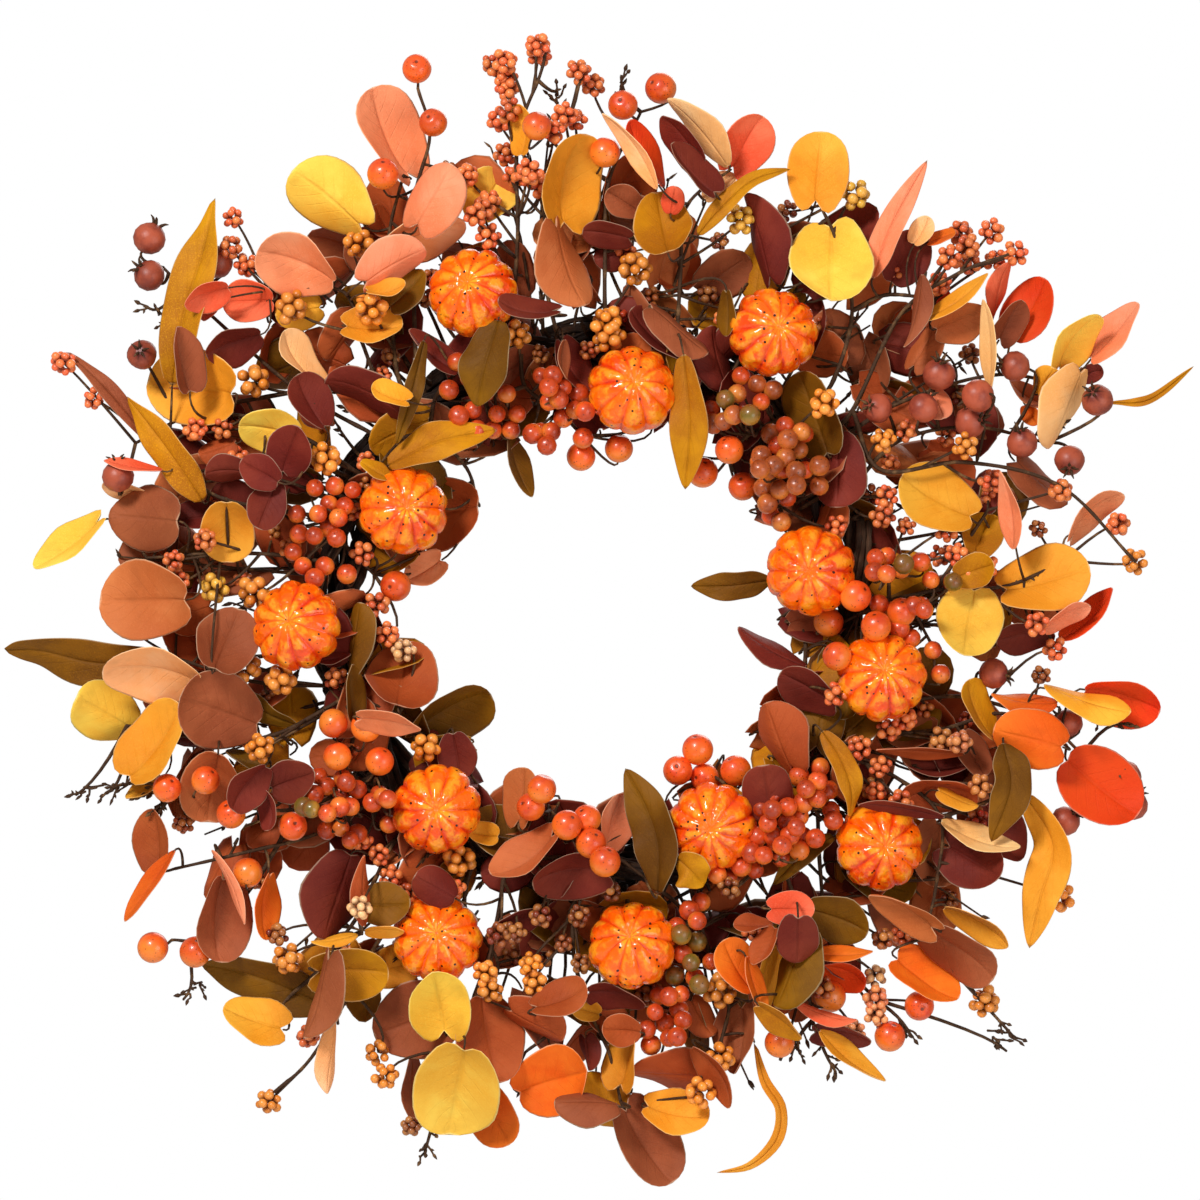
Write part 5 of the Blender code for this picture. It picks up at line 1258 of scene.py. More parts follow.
class Heap:
    """Points, faces, leaf places and colours of many small shapes that make one mesh."""

    def __init__(self):
        self.points = []
        self.faces = []
        self.layers = {}

    def add(self, points, faces, **layers):
        first = sum(len(block) for block in self.points)
        self.points.append(np.asarray(points, float))
        self.faces.extend([first + corner for corner in face] for face in faces)
        for name, values in layers.items():
            block = np.broadcast_to(np.asarray(values, float), (len(points), len(values[0])
                                    if np.ndim(values) == 2 else np.size(values)))
            self.layers.setdefault(name, []).append(block)

    def piece(self, name, material):
        """Make the mesh, with its colours as attributes and its leaf places as a UV map."""
        mesh = bpy.data.meshes.new(name)
        points = np.concatenate(self.points)
        mesh.from_pydata(points.tolist(), [], self.faces)
        for label, blocks in self.layers.items():
            values = np.concatenate(blocks)
            if label == "leaf":
                corners = np.empty(len(mesh.loops), int)
                mesh.loops.foreach_get("vertex_index", corners)
                layer = mesh.uv_layers.new(name="leaf")
                layer.uv.foreach_set("vector", values[corners].ravel())
            else:
                shades = np.column_stack((values, np.ones(len(values))))
                layer = mesh.attributes.new(label, "FLOAT_COLOR", "POINT")
                layer.data.foreach_set("color", shades.ravel())
        mesh.shade_smooth()
        mesh.materials.append(material)
        piece = bpy.data.objects.new(name, mesh)
        bpy.context.scene.collection.objects.link(piece)
        return piece


def smooth_line(points, amount):
    """Points spread evenly in step along a smooth curve through the given points."""
    points = np.array([tuple(point) for point in points])
    ends = np.vstack((2 * points[0] - points[1], points, 2 * points[-1] - points[-2]))
    line = []
    for place in np.linspace(0.0, len(points) - 1.0, amount):
        span = min(int(place), len(points) - 2)
        t = place - span
        a, b, c, d = ends[span:span + 4]
        line.append(0.5 * (2 * b + (c - a) * t + (2 * a - 5 * b + 4 * c - d) * t * t
                           + (3 * b - a - 3 * c + d) * t ** 3))
    return np.array(line)


def add_tube(heap, line, radii, sides=6):
    """A tube along a line, its thickness given at every point, with rounded ends."""
    line = [Vector(point) for point in line]
    last = len(line) - 1
    side = (line[1] - line[0]).normalized().orthogonal().normalized()
    points = []
    for index, point in enumerate(line):
        along = (line[min(index + 1, last)] - line[max(index - 1, 0)]).normalized()
        side = (side - along * side.dot(along)).normalized()
        up = along.cross(side)
        for step in range(sides):
            angle = TAU * step / sides
            points.append(point + float(radii[index]) * (math.cos(angle) * side + math.sin(angle) * up))
    first = len(points)
    points.append(line[0] - (line[1] - line[0]).normalized() * float(radii[0]) * 0.6)
    points.append(line[-1] + (line[-1] - line[-2]).normalized() * float(radii[-1]) * 0.6)
    faces = []
    for step in range(sides):
        after = (step + 1) % sides
        faces.append((first, after, step))
        faces.append((first + 1, last * sides + step, last * sides + after))
        for ring in range(last):
            here = ring * sides
            there = here + sides
            faces.append((here + step, here + after, there + after, there + step))
    heap.add(points, faces)


def add_bud(heap, centre, along, length, width, sides=6):
    """A small pointed bud."""
    line = [centre + along * length * place for place in (0.0, 0.3, 0.65, 1.0)]
    add_tube(heap, line, [width * part for part in (0.5, 1.0, 0.75, 0.15)], sides)


LEAF_ROWS = 14
LEAF_PLACES = np.array((-1.0, -0.93, -0.76, -0.52, -0.28, -0.09, 0.0, 0.09, 0.28, 0.52, 0.76, 0.93, 1.0))
FILLER_ROWS = 8
FILLER_PLACES = np.array((-1.0, -0.85, -0.45, 0.0, 0.45, 0.85, 1.0))


def sheet_faces(rows, places):
    """Faces of a thin closed sheet: an upper and a lower side that meet along its edge."""
    last = places - 1

    def top(row, place):
        return 2 + (row - 1) * places + place

    def low(row, place):
        if place in (0, last):
            return top(row, place)
        return 2 + (rows - 1) * places + (row - 1) * (places - 2) + place - 1

    faces = []
    for place in range(last):
        faces.append((0, top(1, place), top(1, place + 1)))
        faces.append((top(rows - 1, place), 1, top(rows - 1, place + 1)))
        faces.append((0, low(1, place + 1), low(1, place)))
        faces.append((low(rows - 1, place), low(rows - 1, place + 1), 1))
        for row in range(1, rows - 1):
            faces.append((top(row, place), top(row + 1, place),
                          top(row + 1, place + 1), top(row, place + 1)))
            faces.append((low(row, place), low(row, place + 1),
                          low(row + 1, place + 1), low(row + 1, place)))
    return faces


def add_sheet(heap, middles, acrosses, normals, halves, hollow, tints, places, notch=None):
    """A leaf of foam sheet: rows across a middle line, hollowed by the given heights."""
    rows = len(middles) - 1
    along = np.gradient(middles, axis=0)
    along /= np.linalg.norm(along, axis=1)[:, None]
    surface = (middles[:, None] + acrosses[:, None] * (halves[:, None] * places)[:, :, None]
               + normals[:, None] * hollow[:, :, None])
    if notch is not None:
        surface -= along[:, None] * notch[:, :, None]
    edge = np.sqrt(1.0 - abs(places) ** 8)
    thick = sizes().leaf_thickness / 2.0 * edge
    upper = surface + normals[:, None] * thick[None, :, None]
    lower = surface - normals[:, None] * thick[None, :, None]
    middle = len(places) // 2
    points = np.vstack((surface[0, middle][None], surface[-1, middle][None],
                        upper[1:-1].reshape(-1, 3), lower[1:-1, 1:-1].reshape(-1, 3)))
    run = np.linspace(0.0, 1.0, rows + 1) if notch is None else (1.0 - np.cos(
        np.linspace(0.0, math.pi, rows + 1))) / 2.0
    run_grid = np.broadcast_to(run[:, None], (rows + 1, len(places)))
    wide_grid = np.broadcast_to((places[None] + 1.0) / 2.0, (rows + 1, len(places)))
    leaf = np.stack((run_grid, wide_grid), axis=2)
    ends = np.array(((0.0, 0.5), (1.0, 0.5)))
    leaf = np.vstack((ends, leaf[1:-1].reshape(-1, 2), leaf[1:-1, 1:-1].reshape(-1, 2)))
    heap.add(points, sheet_faces(rows, len(places)), leaf=leaf, tint=tints[0], tone=tints[1])


def leaf_tints(kind, draw):
    """The body and second tone of one leaf, a shade lighter or darker than its fellows."""
    light = 1.0 + draw.uniform(-0.13, 0.13)
    warm = draw.uniform(-0.07, 0.07)
    tints = []
    for code in LEAF_COLOURS[kind]:
        red, green, blue = linear(code)
        tints.append((min(1.0, red * light), min(1.0, green * light * (1.0 + warm)),
                      min(1.0, blue * light)))
    return tints


def add_leaf(heap, kind, shape, draw, rows=LEAF_ROWS, places=LEAF_PLACES):
    """A round or oval foam leaf: cupped, bent, a little twisted, notched where its stalk joins."""
    centre, along, across, normal, length, width = shape
    centre, along, across, normal = (np.array(item) for item in (centre, along, across, normal))
    ratio = length / width
    turn = np.linspace(0.0, math.pi, rows + 1)
    run = -np.cos(turn)
    pointed = min(max(0.5 + 0.3 * (ratio - 1.25), 0.5), 0.85)
    swell = draw.uniform(*LEAF_SWELL)
    halves = width / 2.0 * (1.0 - run ** 2 + 1e-9) ** pointed * (1.0 + swell * run)
    halves *= 1.0 + 0.025 * np.sin(run * 5.0 + draw.uniform(0.0, TAU))
    cup = sizes().leaf_cup * draw.uniform(*LEAF_CUP)
    cup *= 1.0 if draw.random() < CUPPED_SHARE else -1.0
    bend = length * draw.uniform(*LEAF_BEND)
    curl = length * draw.uniform(*LEAF_CURL)
    twist = draw.uniform(*LEAF_TWIST) * run
    middles = centre + np.outer(run * length / 2.0, along)
    middles += np.outer(bend * (run ** 2 - 0.33) + curl * np.maximum(run, 0.0) ** 3, normal)
    acrosses = np.cos(twist)[:, None] * across + np.sin(twist)[:, None] * normal
    normals = np.cross(along, acrosses)
    normals /= np.linalg.norm(normals, axis=1)[:, None]
    wide = places[None]
    hollow = cup * halves[:, None] * (0.55 * wide ** 2 + 0.6 * abs(wide) - 0.45)
    hollow -= 0.0006 * np.exp(-(wide / 0.10) ** 2) * (halves[:, None] / halves.max())
    hollow += 0.07 * halves[:, None] * wide * np.sin(run * 4.0 + draw.uniform(0.0, TAU))[:, None]
    depth = draw.uniform(*LEAF_NOTCH) if ratio < 1.6 else 0.02
    base = (run + 1.0)[:, None]
    lobes = base / 0.15 * np.exp(1.0 - base / 0.15) * abs(wide) ** 1.4
    notch = depth * length * (lobes - 0.6 * np.exp(-6.0 * base) * (1.0 - abs(wide)))
    add_sheet(heap, middles, acrosses, normals, halves, hollow, leaf_tints(kind, draw), places, notch)
    return centre - along * length * 0.47


def add_blade(heap, row, index, shift, draw):
    """A long willow leaf: folded a little along its rib, waved and twisted towards its tip."""
    places = [place - Vector((0.0, shift, 0.0)) for place in blade_line(row)]
    middles = smooth_line(places, BLADE_ROWS + 1)
    frames = blade_frames([Vector(place) for place in middles], index)
    run = np.linspace(0.0, 1.0, BLADE_ROWS + 1)
    halves = row[1] * MM / 2.0 * (np.sin(math.pi * (0.03 + 0.97 * run) ** 0.9) + 1e-6) ** 0.75
    turn = draw.uniform(*BLADE_TURN) * (1.0 if draw.random() < 0.5 else -1.0) * (run - 0.4)
    acrosses = []
    normals = []
    for step, (across, normal) in enumerate(frames):
        acrosses.append(np.array(across) * math.cos(turn[step]) + np.array(normal) * math.sin(turn[step]))
        normals.append(np.array(normal) * math.cos(turn[step]) - np.array(across) * math.sin(turn[step]))
    wide = LEAF_PLACES[None]
    fold = draw.uniform(*BLADE_FOLD)
    ripple = np.sin(run * draw.uniform(*BLADE_RIPPLES) + draw.uniform(0.0, TAU))[:, None]
    hollow = halves[:, None] * (fold * abs(wide) + 0.20 * ripple * wide * abs(wide) - fold * 0.4)
    hollow -= 0.0006 * np.exp(-(wide / 0.10) ** 2)
    add_sheet(heap, middles, np.array(acrosses), np.array(normals), halves, hollow,
              leaf_tints(row[0], draw), LEAF_PLACES)
    return Vector(middles[0])


# ---------------------------------------------------------------- the pieces

class Store:
    """What the operators share: the solids already in place, the stems and the materials."""

    ground = None
    stems = {}
    materials = {}


def finish_for(slot):
    """The material of a slot, made when it is first asked for."""
    makers = {"vine_bark": bark_finish, "stem_wrap": wrap_finish,
              "pumpkin_lacquer": lacquer_finish, "berry_foam": berry_finish,
              "hip_foam": hip_finish, "bead_foam": bead_finish,
              "leaf_fabric": lambda: foam_leaf_finish("leaf foam", 0.35, 0.75),
              "long_leaf_fabric": lambda: foam_leaf_finish("long leaf foam", 0.8, 0.9)}
    if slot not in Store.materials:
        Store.materials[slot] = makers[slot]()
    return Store.materials[slot]


def settle(piece, slot, *nodes):
    """Hang a finished piece on the wreath and hide the solids it stands for."""
    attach(piece, "root")
    if nodes:
        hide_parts(*nodes)


def put(heap, name, slot, *nodes):
    """Make a piece of a heap of shapes, and hang it on the wreath."""
    settle(heap.piece(name, finish_for(slot)), slot, *nodes)


def ground():
    """What is already in place, read when it is first asked for."""
    if Store.ground is None:
        Store.ground = Ground()
    return Store.ground


def spray_stems(name, stems):
    """The middle lines of a spray's stems where its solid has them, with the root at the ring."""
    dx, dz, rise = stem_offset(stems, solid_points(name))
    paths = [[plan(x + dx, z + dz, lift + rise) for x, z, lift in stem] for stem in stems]
    root = paths[0][0]
    paths[0].insert(0, root.lerp(ring_core(root), 0.55))
    lines = [smooth_line(path, 7 * len(path)) for path in paths]
    Store.stems[name] = np.vstack(lines)
    return lines


def add_stems(heap, lines, draw):
    """The stems of a spray: thicker at the root, with a few knots."""
    for line in lines:
        along = np.linspace(0.0, 1.0, len(line))
        radii = sizes().stem_radius * (1.08 - 0.42 * along)
        radii *= 1.0 + 0.18 * np.sin(along * draw.uniform(18.0, 30.0) + draw.uniform(0.0, TAU)) ** 8
        add_tube(heap, line, radii, 7)


def add_stalk(heap, start, ahead, targets, draw, thick=1.0, seek=0.0):
    """A thin curved stalk from a leaf or berry to the stem point nearest to what lies ahead."""
    gaps = np.linalg.norm(targets - np.array(start) - seek * np.array(ahead), axis=1)
    target = targets[int(gaps.argmin())]
    reach = gaps.min()
    pull = np.array(start) + np.array(ahead) * min(0.45 * reach, 0.012)
    pull = pull + draw.normal(0.0, 0.0012, 3)
    run = np.linspace(0.0, 1.0, 7)[:, None]
    line = (1 - run) ** 2 * np.array(start) + 2 * run * (1 - run) * pull + run ** 2 * target
    radii = sizes().stalk_radius * thick * np.linspace(0.85, 1.35, 7)
    add_tube(heap, line, radii, 5)


class Branch:
    """A spray being built: its solid, its random draws, and its stems with the places on them."""

    def __init__(self, name, seed, spray):
        self.name = name
        self.draw = np.random.default_rng(seed)
        self.solid = solid_points(name)
        self.stems = Heap()
        add_stems(self.stems, spray_stems(name, spray["stems"]), self.draw)
        self.places = Store.stems[name]

    def stalk(self, start, ahead, thick=1.0):
        add_stalk(self.stems, start, ahead, self.places, self.draw, thick)

    def put_stems(self):
        put(self.stems, f"{self.name}_stems", "stem_wrap", self.name)


def build_vines():
    """The three vines of the ring, each a bundle of twisted twigs, and some loose ends."""
    tree = vine_tree(finish_for("vine_bark"))
    empty = bpy.data.meshes.new("vine seed")
    for number in range(3):
        piece = grown(f"vine_{number + 1}_twigs", empty, tree, {
            "Start Turn": TAU * number / 3.0, "Twigs": sizes().twig_count,
            "Twig Radius": sizes().twig_radius, "Looseness": sizes().twig_looseness})
        settle(piece, "vine_bark", f"vine_{number + 1}")
    build_loose_twigs()


def build_loose_twigs():
    """Twig ends that lift away from the ring."""
    draw = np.random.default_rng(LOOSE_TWIG_SEED)
    heap = Heap()
    for _ in range(LOOSE_TWIGS):
        start = draw.uniform(0.0, TAU)
        span = draw.uniform(0.5, 1.3)
        depth = draw.uniform(-0.010, 0.012)
        away = draw.uniform(0.004, 0.016) * (1.0 if draw.random() < 0.6 else -1.0)
        line = []
        for along in np.linspace(0.0, 1.0, LOOSE_TWIG_POINTS):
            around = start + span * along
            reach = RING_RADIUS + draw.normal(0.0, 0.0006) + away * (2.0 * along - 0.6)
            line.append((math.sin(around) * reach, depth - 0.006 * along,
                         RING_CENTRE_Z + math.cos(around) * reach))
        thick = draw.uniform(0.0009, 0.0017)
        add_tube(heap, line, thick * np.linspace(1.0, 0.55, LOOSE_TWIG_POINTS))
    put(heap, "loose_twigs", "vine_bark")


def build_ties():
    """Split cane wound three times round the vines."""
    draw = np.random.default_rng(TIE_SEED)
    last = CANE_POINTS - 1.0
    for number, degrees in enumerate(TIE_ANGLES, 1):
        around = math.radians(degrees)
        outward = Vector((math.sin(around), 0.0, math.cos(around)))
        forward = Vector((math.cos(around), 0.0, -math.sin(around)))
        centre = RING_CENTRE + outward * RING_RADIUS
        line = []
        for step in range(CANE_POINTS):
            angle = TAU * CANE_TURNS * step / last
            loop = SECTION_RADIUS + CANE_RADIUS + draw.normal(0.0, 0.0002)
            slide = CANE_PITCH * (step / last - 0.5) * CANE_TURNS
            line.append(centre + loop * (math.cos(angle) * outward + math.sin(angle) * FRONT)
                        + forward * slide)
        heap = Heap()
        add_tube(heap, line, [CANE_RADIUS] * CANE_POINTS)
        put(heap, f"ring_tie_{number}_cane", "stem_wrap", f"ring_tie_{number}")


def build_pumpkins():
    """Every pumpkin where its solid lies, crown turned as listed, with its wire pick."""
    tree = pumpkin_tree(finish_for("pumpkin_lacquer"))
    empty = bpy.data.meshes.new("pumpkin seed")
    for number, (x, z, lift, sideways, upwards) in enumerate(PUMPKINS, 1):
        name = f"pumpkin_{number:02d}"
        yaw = math.radians(sideways)
        pitch = math.radians(upwards)
        axis = Vector((math.sin(yaw), -math.cos(yaw) * math.cos(pitch), math.sin(pitch)))
        axis.normalize()
        across = axis.cross(Vector((0.0, 0.0, 1.0))).normalized()
        up = across.cross(axis)
        centre = plan(x, z, lift)
        centre.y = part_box(name)[0].y + PUMPKIN_DEPTH * 0.45
        piece = grown(f"{name}_body", empty, tree, {
            "Ribs": float(sizes().pumpkin_ribs + number % 2), "Seed": number * 3.1,
            "Groove": sizes().pumpkin_groove, "Radius": PUMPKIN_RADIUS * 1.05})
        turned = Matrix((across, up, axis)).transposed().to_4x4()
        piece.data.transform(Matrix.Translation(centre) @ turned)
        settle(piece, "pumpkin_lacquer", name)
        heap = Heap()
        core = ring_core(centre)
        line = [centre.lerp(core, part) for part in np.linspace(0.25, 0.8, 5)]
        add_tube(heap, line, [PICK_RADIUS] * len(line))
        put(heap, f"{name}_pick", "stem_wrap", name)


def build_leaf_sprays():
    """Every leaf of every spray where its solid lies, and the small ones on top."""
    for number, spray in enumerate(LEAF_SPRAYS, 1):
        branch = Branch(f"leaf_spray_{number:02d}", LEAF_SEED + number, spray)
        leaves = Heap()
        for index, row in enumerate(spray["leaves"]):
            shape = list(leaf_shape(row, index))
            corners = plate_corners(leaf_stations(shape))
            shift = forward_shift(corners, branch.solid, f"leaf {index} of {branch.name}")
            shape[0] = shape[0] - Vector((0.0, shift, 0.0))
            base = add_leaf(leaves, row[0], shape, branch.draw)
            branch.stalk(base, -np.array(shape[1]))
        add_blades(leaves, branch, spray)
        for row in spray.get("tops", ()):
            shape = list(leaf_shape(row, number))
            shape[0] = ground().plate_clear(shape)
            base = add_leaf(leaves, row[0], shape, branch.draw)
            branch.stalk(base, -np.array(shape[1]), 0.8)
        put(leaves, f"{branch.name}_leaves", "leaf_fabric", branch.name)
        branch.put_stems()


def add_blades(leaves, branch, spray):
    """The long leaves of a spray, each with its stalk."""
    for index, row in enumerate(spray.get("blades", ())):
        corners = plate_corners(blade_stations(row, index))
        shift = forward_shift(corners, branch.solid, f"long leaf {index} of {branch.name}")
        base = add_blade(leaves, row, index, shift, branch.draw)
        line = blade_line(row)
        branch.stalk(base, (line[0] - line[1]).normalized())


def build_long_leaves():
    """The sprays that have long leaves only."""
    for number, spray in enumerate(LONG_LEAF_SPRAYS, 1):
        branch = Branch(f"long_leaf_spray_{number}", LONG_LEAF_SEED + number, spray)
        leaves = Heap()
        add_blades(leaves, branch, spray)
        put(leaves, f"{branch.name}_leaves", "long_leaf_fabric", branch.name)
        branch.put_stems()


def spot_mesh(name, spots):
    """A mesh of bare points that carry radius, axis and colours: rows of a list of dicts."""
    mesh = bpy.data.meshes.new(name)
    mesh.from_pydata([tuple(spot["centre"]) for spot in spots], [], [])
    mesh.attributes.new("radius", "FLOAT", "POINT").data.foreach_set(
        "value", [spot["radius"] for spot in spots])
    mesh.attributes.new("axis", "FLOAT_VECTOR", "POINT").data.foreach_set(
        "vector", [part for spot in spots for part in spot["axis"]])
    for label in ("tint", "tone"):
        mesh.attributes.new(label, "FLOAT_COLOR", "POINT").data.foreach_set(
            "color", [part for spot in spots for part in (*spot[label], 1.0)])
    return mesh


def berry_spot(kind, centre, radius, draw, lean=0.7):
    """One berry or hip: its place, the way its tip points, and its colours."""
    light = 1.0 + draw.uniform(-0.16, 0.16)
    axis = Vector(draw.normal(0.0, lean, 3)) + FRONT + Vector((0.0, 0.0, 0.8))
    body, tone = (tuple(min(1.0, part * light) for part in linear(code))
                  for code in BERRY_COLOURS[kind])
    return {"centre": centre, "radius": radius, "axis": axis.normalized(), "tint": body,
            "tone": tone}


def heaped(centre, radius, spots):
    """The centre moved forward until the berry only just sinks into its fellows."""
    centre = centre.copy()
    for _ in range(HEAP_STEPS):
        if all((centre - spot["centre"]).length > HEAP_CONTACT * (radius + spot["radius"])
               for spot in spots):
            break
        centre.y -= STEP_FORWARD
    return centre


def build_berries():
    """Single and small berries where their solids lie, and the bunches heaped up with more."""
    tree = berry_tree(finish_for("berry_foam"))
    for number, spray in enumerate(BERRY_BRANCHES, 1):
        branch = Branch(f"berry_branch_{number:02d}", BERRY_SEED + number, spray)
        draw = branch.draw
        singles = []
        bunch = []
        for key, radius, sides, kind, spots in (("berries", BERRY_RADIUS, 5, "single", singles),
                                                ("small", SMALL_BERRY_RADIUS, 4, "small", bunch)):
            for row in spray.get(key, ()):
                centre = laid_ball(row, radius, sides, branch)
                spots.append(berry_spot(kind, centre, radius * draw.uniform(1.0, 1.12), draw))
        for kind, places in spray.get("bunches", ()):
            for x, z in places:
                radius = draw.uniform(*BUNCH_RADII)
                centre = heaped(plan(x, z, BUNCH_LIFT), radius, bunch)
                bunch.append(berry_spot(kind, centre, radius, draw))
        for spot in singles + bunch:
            branch.stalk(spot["centre"] - spot["axis"] * spot["radius"] * 0.8, -spot["axis"])
        for label, spots, segments, rings in (("berries", singles, 24, 15),
                                              ("cluster", bunch, 12, 8)):
            if spots:
                piece = grown(f"{branch.name}_{label}", spot_mesh(label, spots), tree,
                              {"Segments": segments, "Rings": rings})
                settle(piece, "berry_foam", branch.name)
        branch.put_stems()


def add_hip(heap, crown, spot, draw):
    """A rosehip: a round fruit drawn in towards its tip, with a small open crown of sepals."""
    radius = spot["radius"]
    axis = spot["axis"]
    side = axis.orthogonal().normalized()
    up = axis.cross(side)
    sides = 20
    profile = [(-1.0, 0.0), (-0.97, 0.24), (-0.80, 0.62), (-0.45, 0.92), (0.0, 1.02), (0.42, 0.90),
               (0.72, 0.64), (0.90, 0.36), (0.95, 0.20), (0.86, 0.0)]
    points = []
    poles = []
    for height, reach in profile[1:-1]:
        for step in range(sides):
            angle = TAU * step / sides
            spread = reach * (1.0 + 0.02 * math.sin(3.0 * angle + radius * 9000.0))
            points.append(spot["centre"] + radius * (axis * height + spread * (
                math.cos(angle) * side + math.sin(angle) * up)))
            poles.append((0.0, 0.0, height))
    for height, _ in (profile[0], profile[-1]):
        points.append(spot["centre"] + radius * axis * height)
        poles.append((0.0, 0.0, height))
    rings = len(profile) - 2
    low = rings * sides
    faces = []
    for step in range(sides):
        after = (step + 1) % sides
        faces.append((low, after, step))
        faces.append((low + 1, (rings - 1) * sides + step, (rings - 1) * sides + after))
        for ring in range(rings - 1):
            here = ring * sides
            faces.append((here + step, here + after, here + sides + after, here + sides + step))
    heap.add(points, faces, tint=spot["tint"], tone=spot["tone"], pole=poles)
    for step in range(5):
        angle = TAU * step / 5.0 + draw.uniform(-0.2, 0.2)
        out = math.cos(angle) * side + math.sin(angle) * up
        root = spot["centre"] + radius * (axis * 0.86 + out * 0.2)
        line = [root + (axis * rise + out * reach) * radius
                for rise, reach in ((0.0, 0.0), (0.18, 0.10), (0.34, 0.26), (0.42, 0.46))]
        add_tube(crown, line, [radius * part for part in (0.13, 0.11, 0.08, 0.03)], 5)


def build_hips():
    """Rosehips where their solids lie."""
    for number, spray in enumerate(HIP_BRANCHES, 1):
        branch = Branch(f"hip_branch_{number}", HIP_SEED + number, spray)
        draw = branch.draw
        fruit = Heap()
        for row in spray["hips"]:
            centre = laid_ball(row, HIP_RADIUS, 5, branch)
            spot = berry_spot("hip", centre, HIP_RADIUS * draw.uniform(0.94, 1.05), draw, 0.9)
            add_hip(fruit, branch.stems, spot, draw)
            branch.stalk(centre - spot["axis"] * HIP_RADIUS * 0.9, -spot["axis"], 1.3)
        put(fruit, f"{branch.name}_hips", "hip_foam", branch.name)
        branch.put_stems()


def clump_spot(kind, centre, radius, draw):
    """One clump of beads: its place and its colour."""
    light = 1.0 + draw.uniform(-0.28, 0.2)
    shade = tuple(min(1.0, part * light) for part in linear(BEAD_COLOURS[kind]))
    return {"centre": centre, "radius": radius, "axis": FRONT, "tint": shade, "tone": shade}


def sprig_for(x, z):
    """Which bead sprig a loose clump belongs to: upper left, right or lower left."""
    if x < 0.0 and z > -40.0:
        return 1
    return 2 if x >= 0.0 and z > -125.0 else 3


def build_beads():
    """Clumps of beads where their solids lie, loose clumps on what is behind them, and bare tips."""
    tree = bead_tree(finish_for("bead_foam"))
    branches = {}
    clumps = {}
    for number, spray in enumerate(BEAD_SPRIGS, 1):
        branch = Branch(f"bead_sprig_{number}", BEAD_SEED + number, spray)
        branches[number] = branch
        clumps[number] = []
        for kind, *place in spray["beads"]:
            centre = laid_ball(place, BEAD_LUMP_RADIUS, 4, branch)
            clumps[number].append(clump_spot(kind, centre, BEAD_LUMP_RADIUS, branch.draw))
    for kind, radius, places in BEAD_CLUMPS:
        for x, z in places:
            number = sprig_for(x, z)
            draw = branches[number].draw
            radius_here = radius * MM * draw.uniform(0.92, 1.08)
            centre = ground().ball_clear(plan(x, z, CLUMP_LIFT), radius_here * 1.2)
            clumps[number].append(clump_spot(kind, centre, radius_here, draw))
    every_stem = np.vstack(list(Store.stems.values()))
    for number, branch in branches.items():
        for spot in clumps[number]:
            back = spot["centre"] - FRONT * spot["radius"] * 0.5
            inward = plan(0.0, 0.0) - spot["centre"]
            inward.y = 0.0
            add_stalk(branch.stems, back, inward.normalized(), every_stem, branch.draw, 1.1,
                      CLUMP_REACH)
        piece = grown(f"{branch.name}_beads", spot_mesh(branch.name, clumps[number]), tree,
                      {"Bead Share": sizes().bead_share, "Seed": number})
        settle(piece, "bead_foam", branch.name)
    add_twig_tips(branches, every_stem)
    for branch in branches.values():
        branch.put_stems()


def add_twig_tips(branches, every_stem):
    """Bare twig ends that fork, each fork with buds on it."""
    draw = np.random.default_rng(TIP_SEED)
    for x, z in TWIG_TIPS:
        heap = branches[sprig_for(x, z)].stems
        tip = plan(x, z, TIP_LIFT)
        outward = Vector((x, 0.0, z)).normalized()
        add_stalk(heap, tip, -outward, every_stem, draw, 1.4)
        for _ in range(TIP_FORKS):
            add_fork(heap, tip - outward * draw.uniform(0.0, 0.016), outward, draw)


def add_fork(heap, root, outward, draw):
    """A short bent side twig with a long bud at its end and a small one at its bend."""
    along = (outward + Vector(draw.normal(0.0, 0.5, 3))).normalized()
    reach = draw.uniform(*FORK_REACH)
    bend = root + along * reach * 0.5 + Vector(draw.normal(0.0, 0.0005, 3))
    end = root + along * reach
    add_tube(heap, [root, bend, end], (0.0007, 0.0006, 0.0005), 5)
    length = draw.uniform(*TIP_BUD_LENGTHS)
    add_bud(heap, end, along, length, draw.uniform(*TIP_BUD_WIDTHS))
    side = (along + Vector(draw.normal(0.0, 0.7, 3))).normalized()
    add_bud(heap, bend, side, 0.0024, 0.0007, 5)


def filler_spots(draw, amount, band):
    """Plan places and radii spread evenly round the ring, one after another by the golden angle."""
    near, far = band
    for index in range(amount):
        reach = math.sqrt(near ** 2 + (far ** 2 - near ** 2) * draw.random() ** INWARD)
        around = index * GOLDEN_ANGLE + draw.uniform(-0.08, 0.08)
        yield reach * math.sin(around), reach * math.cos(around), reach


def over_ring(reach, lift):
    """This lift, or more where the vines of the ring would be in the way."""
    inside = (SECTION_RADIUS / MM) ** 2 - (reach - PLAN_RADIUS) ** 2
    return max(lift, math.sqrt(max(inside, 0.0)) + 3.0)


def half_of(x):
    """The half of the wreath that a filler piece belongs to."""
    return "left" if x < 0.0 else "right"


def any_of(kinds, draw):
    return kinds[int(draw.integers(len(kinds)))]


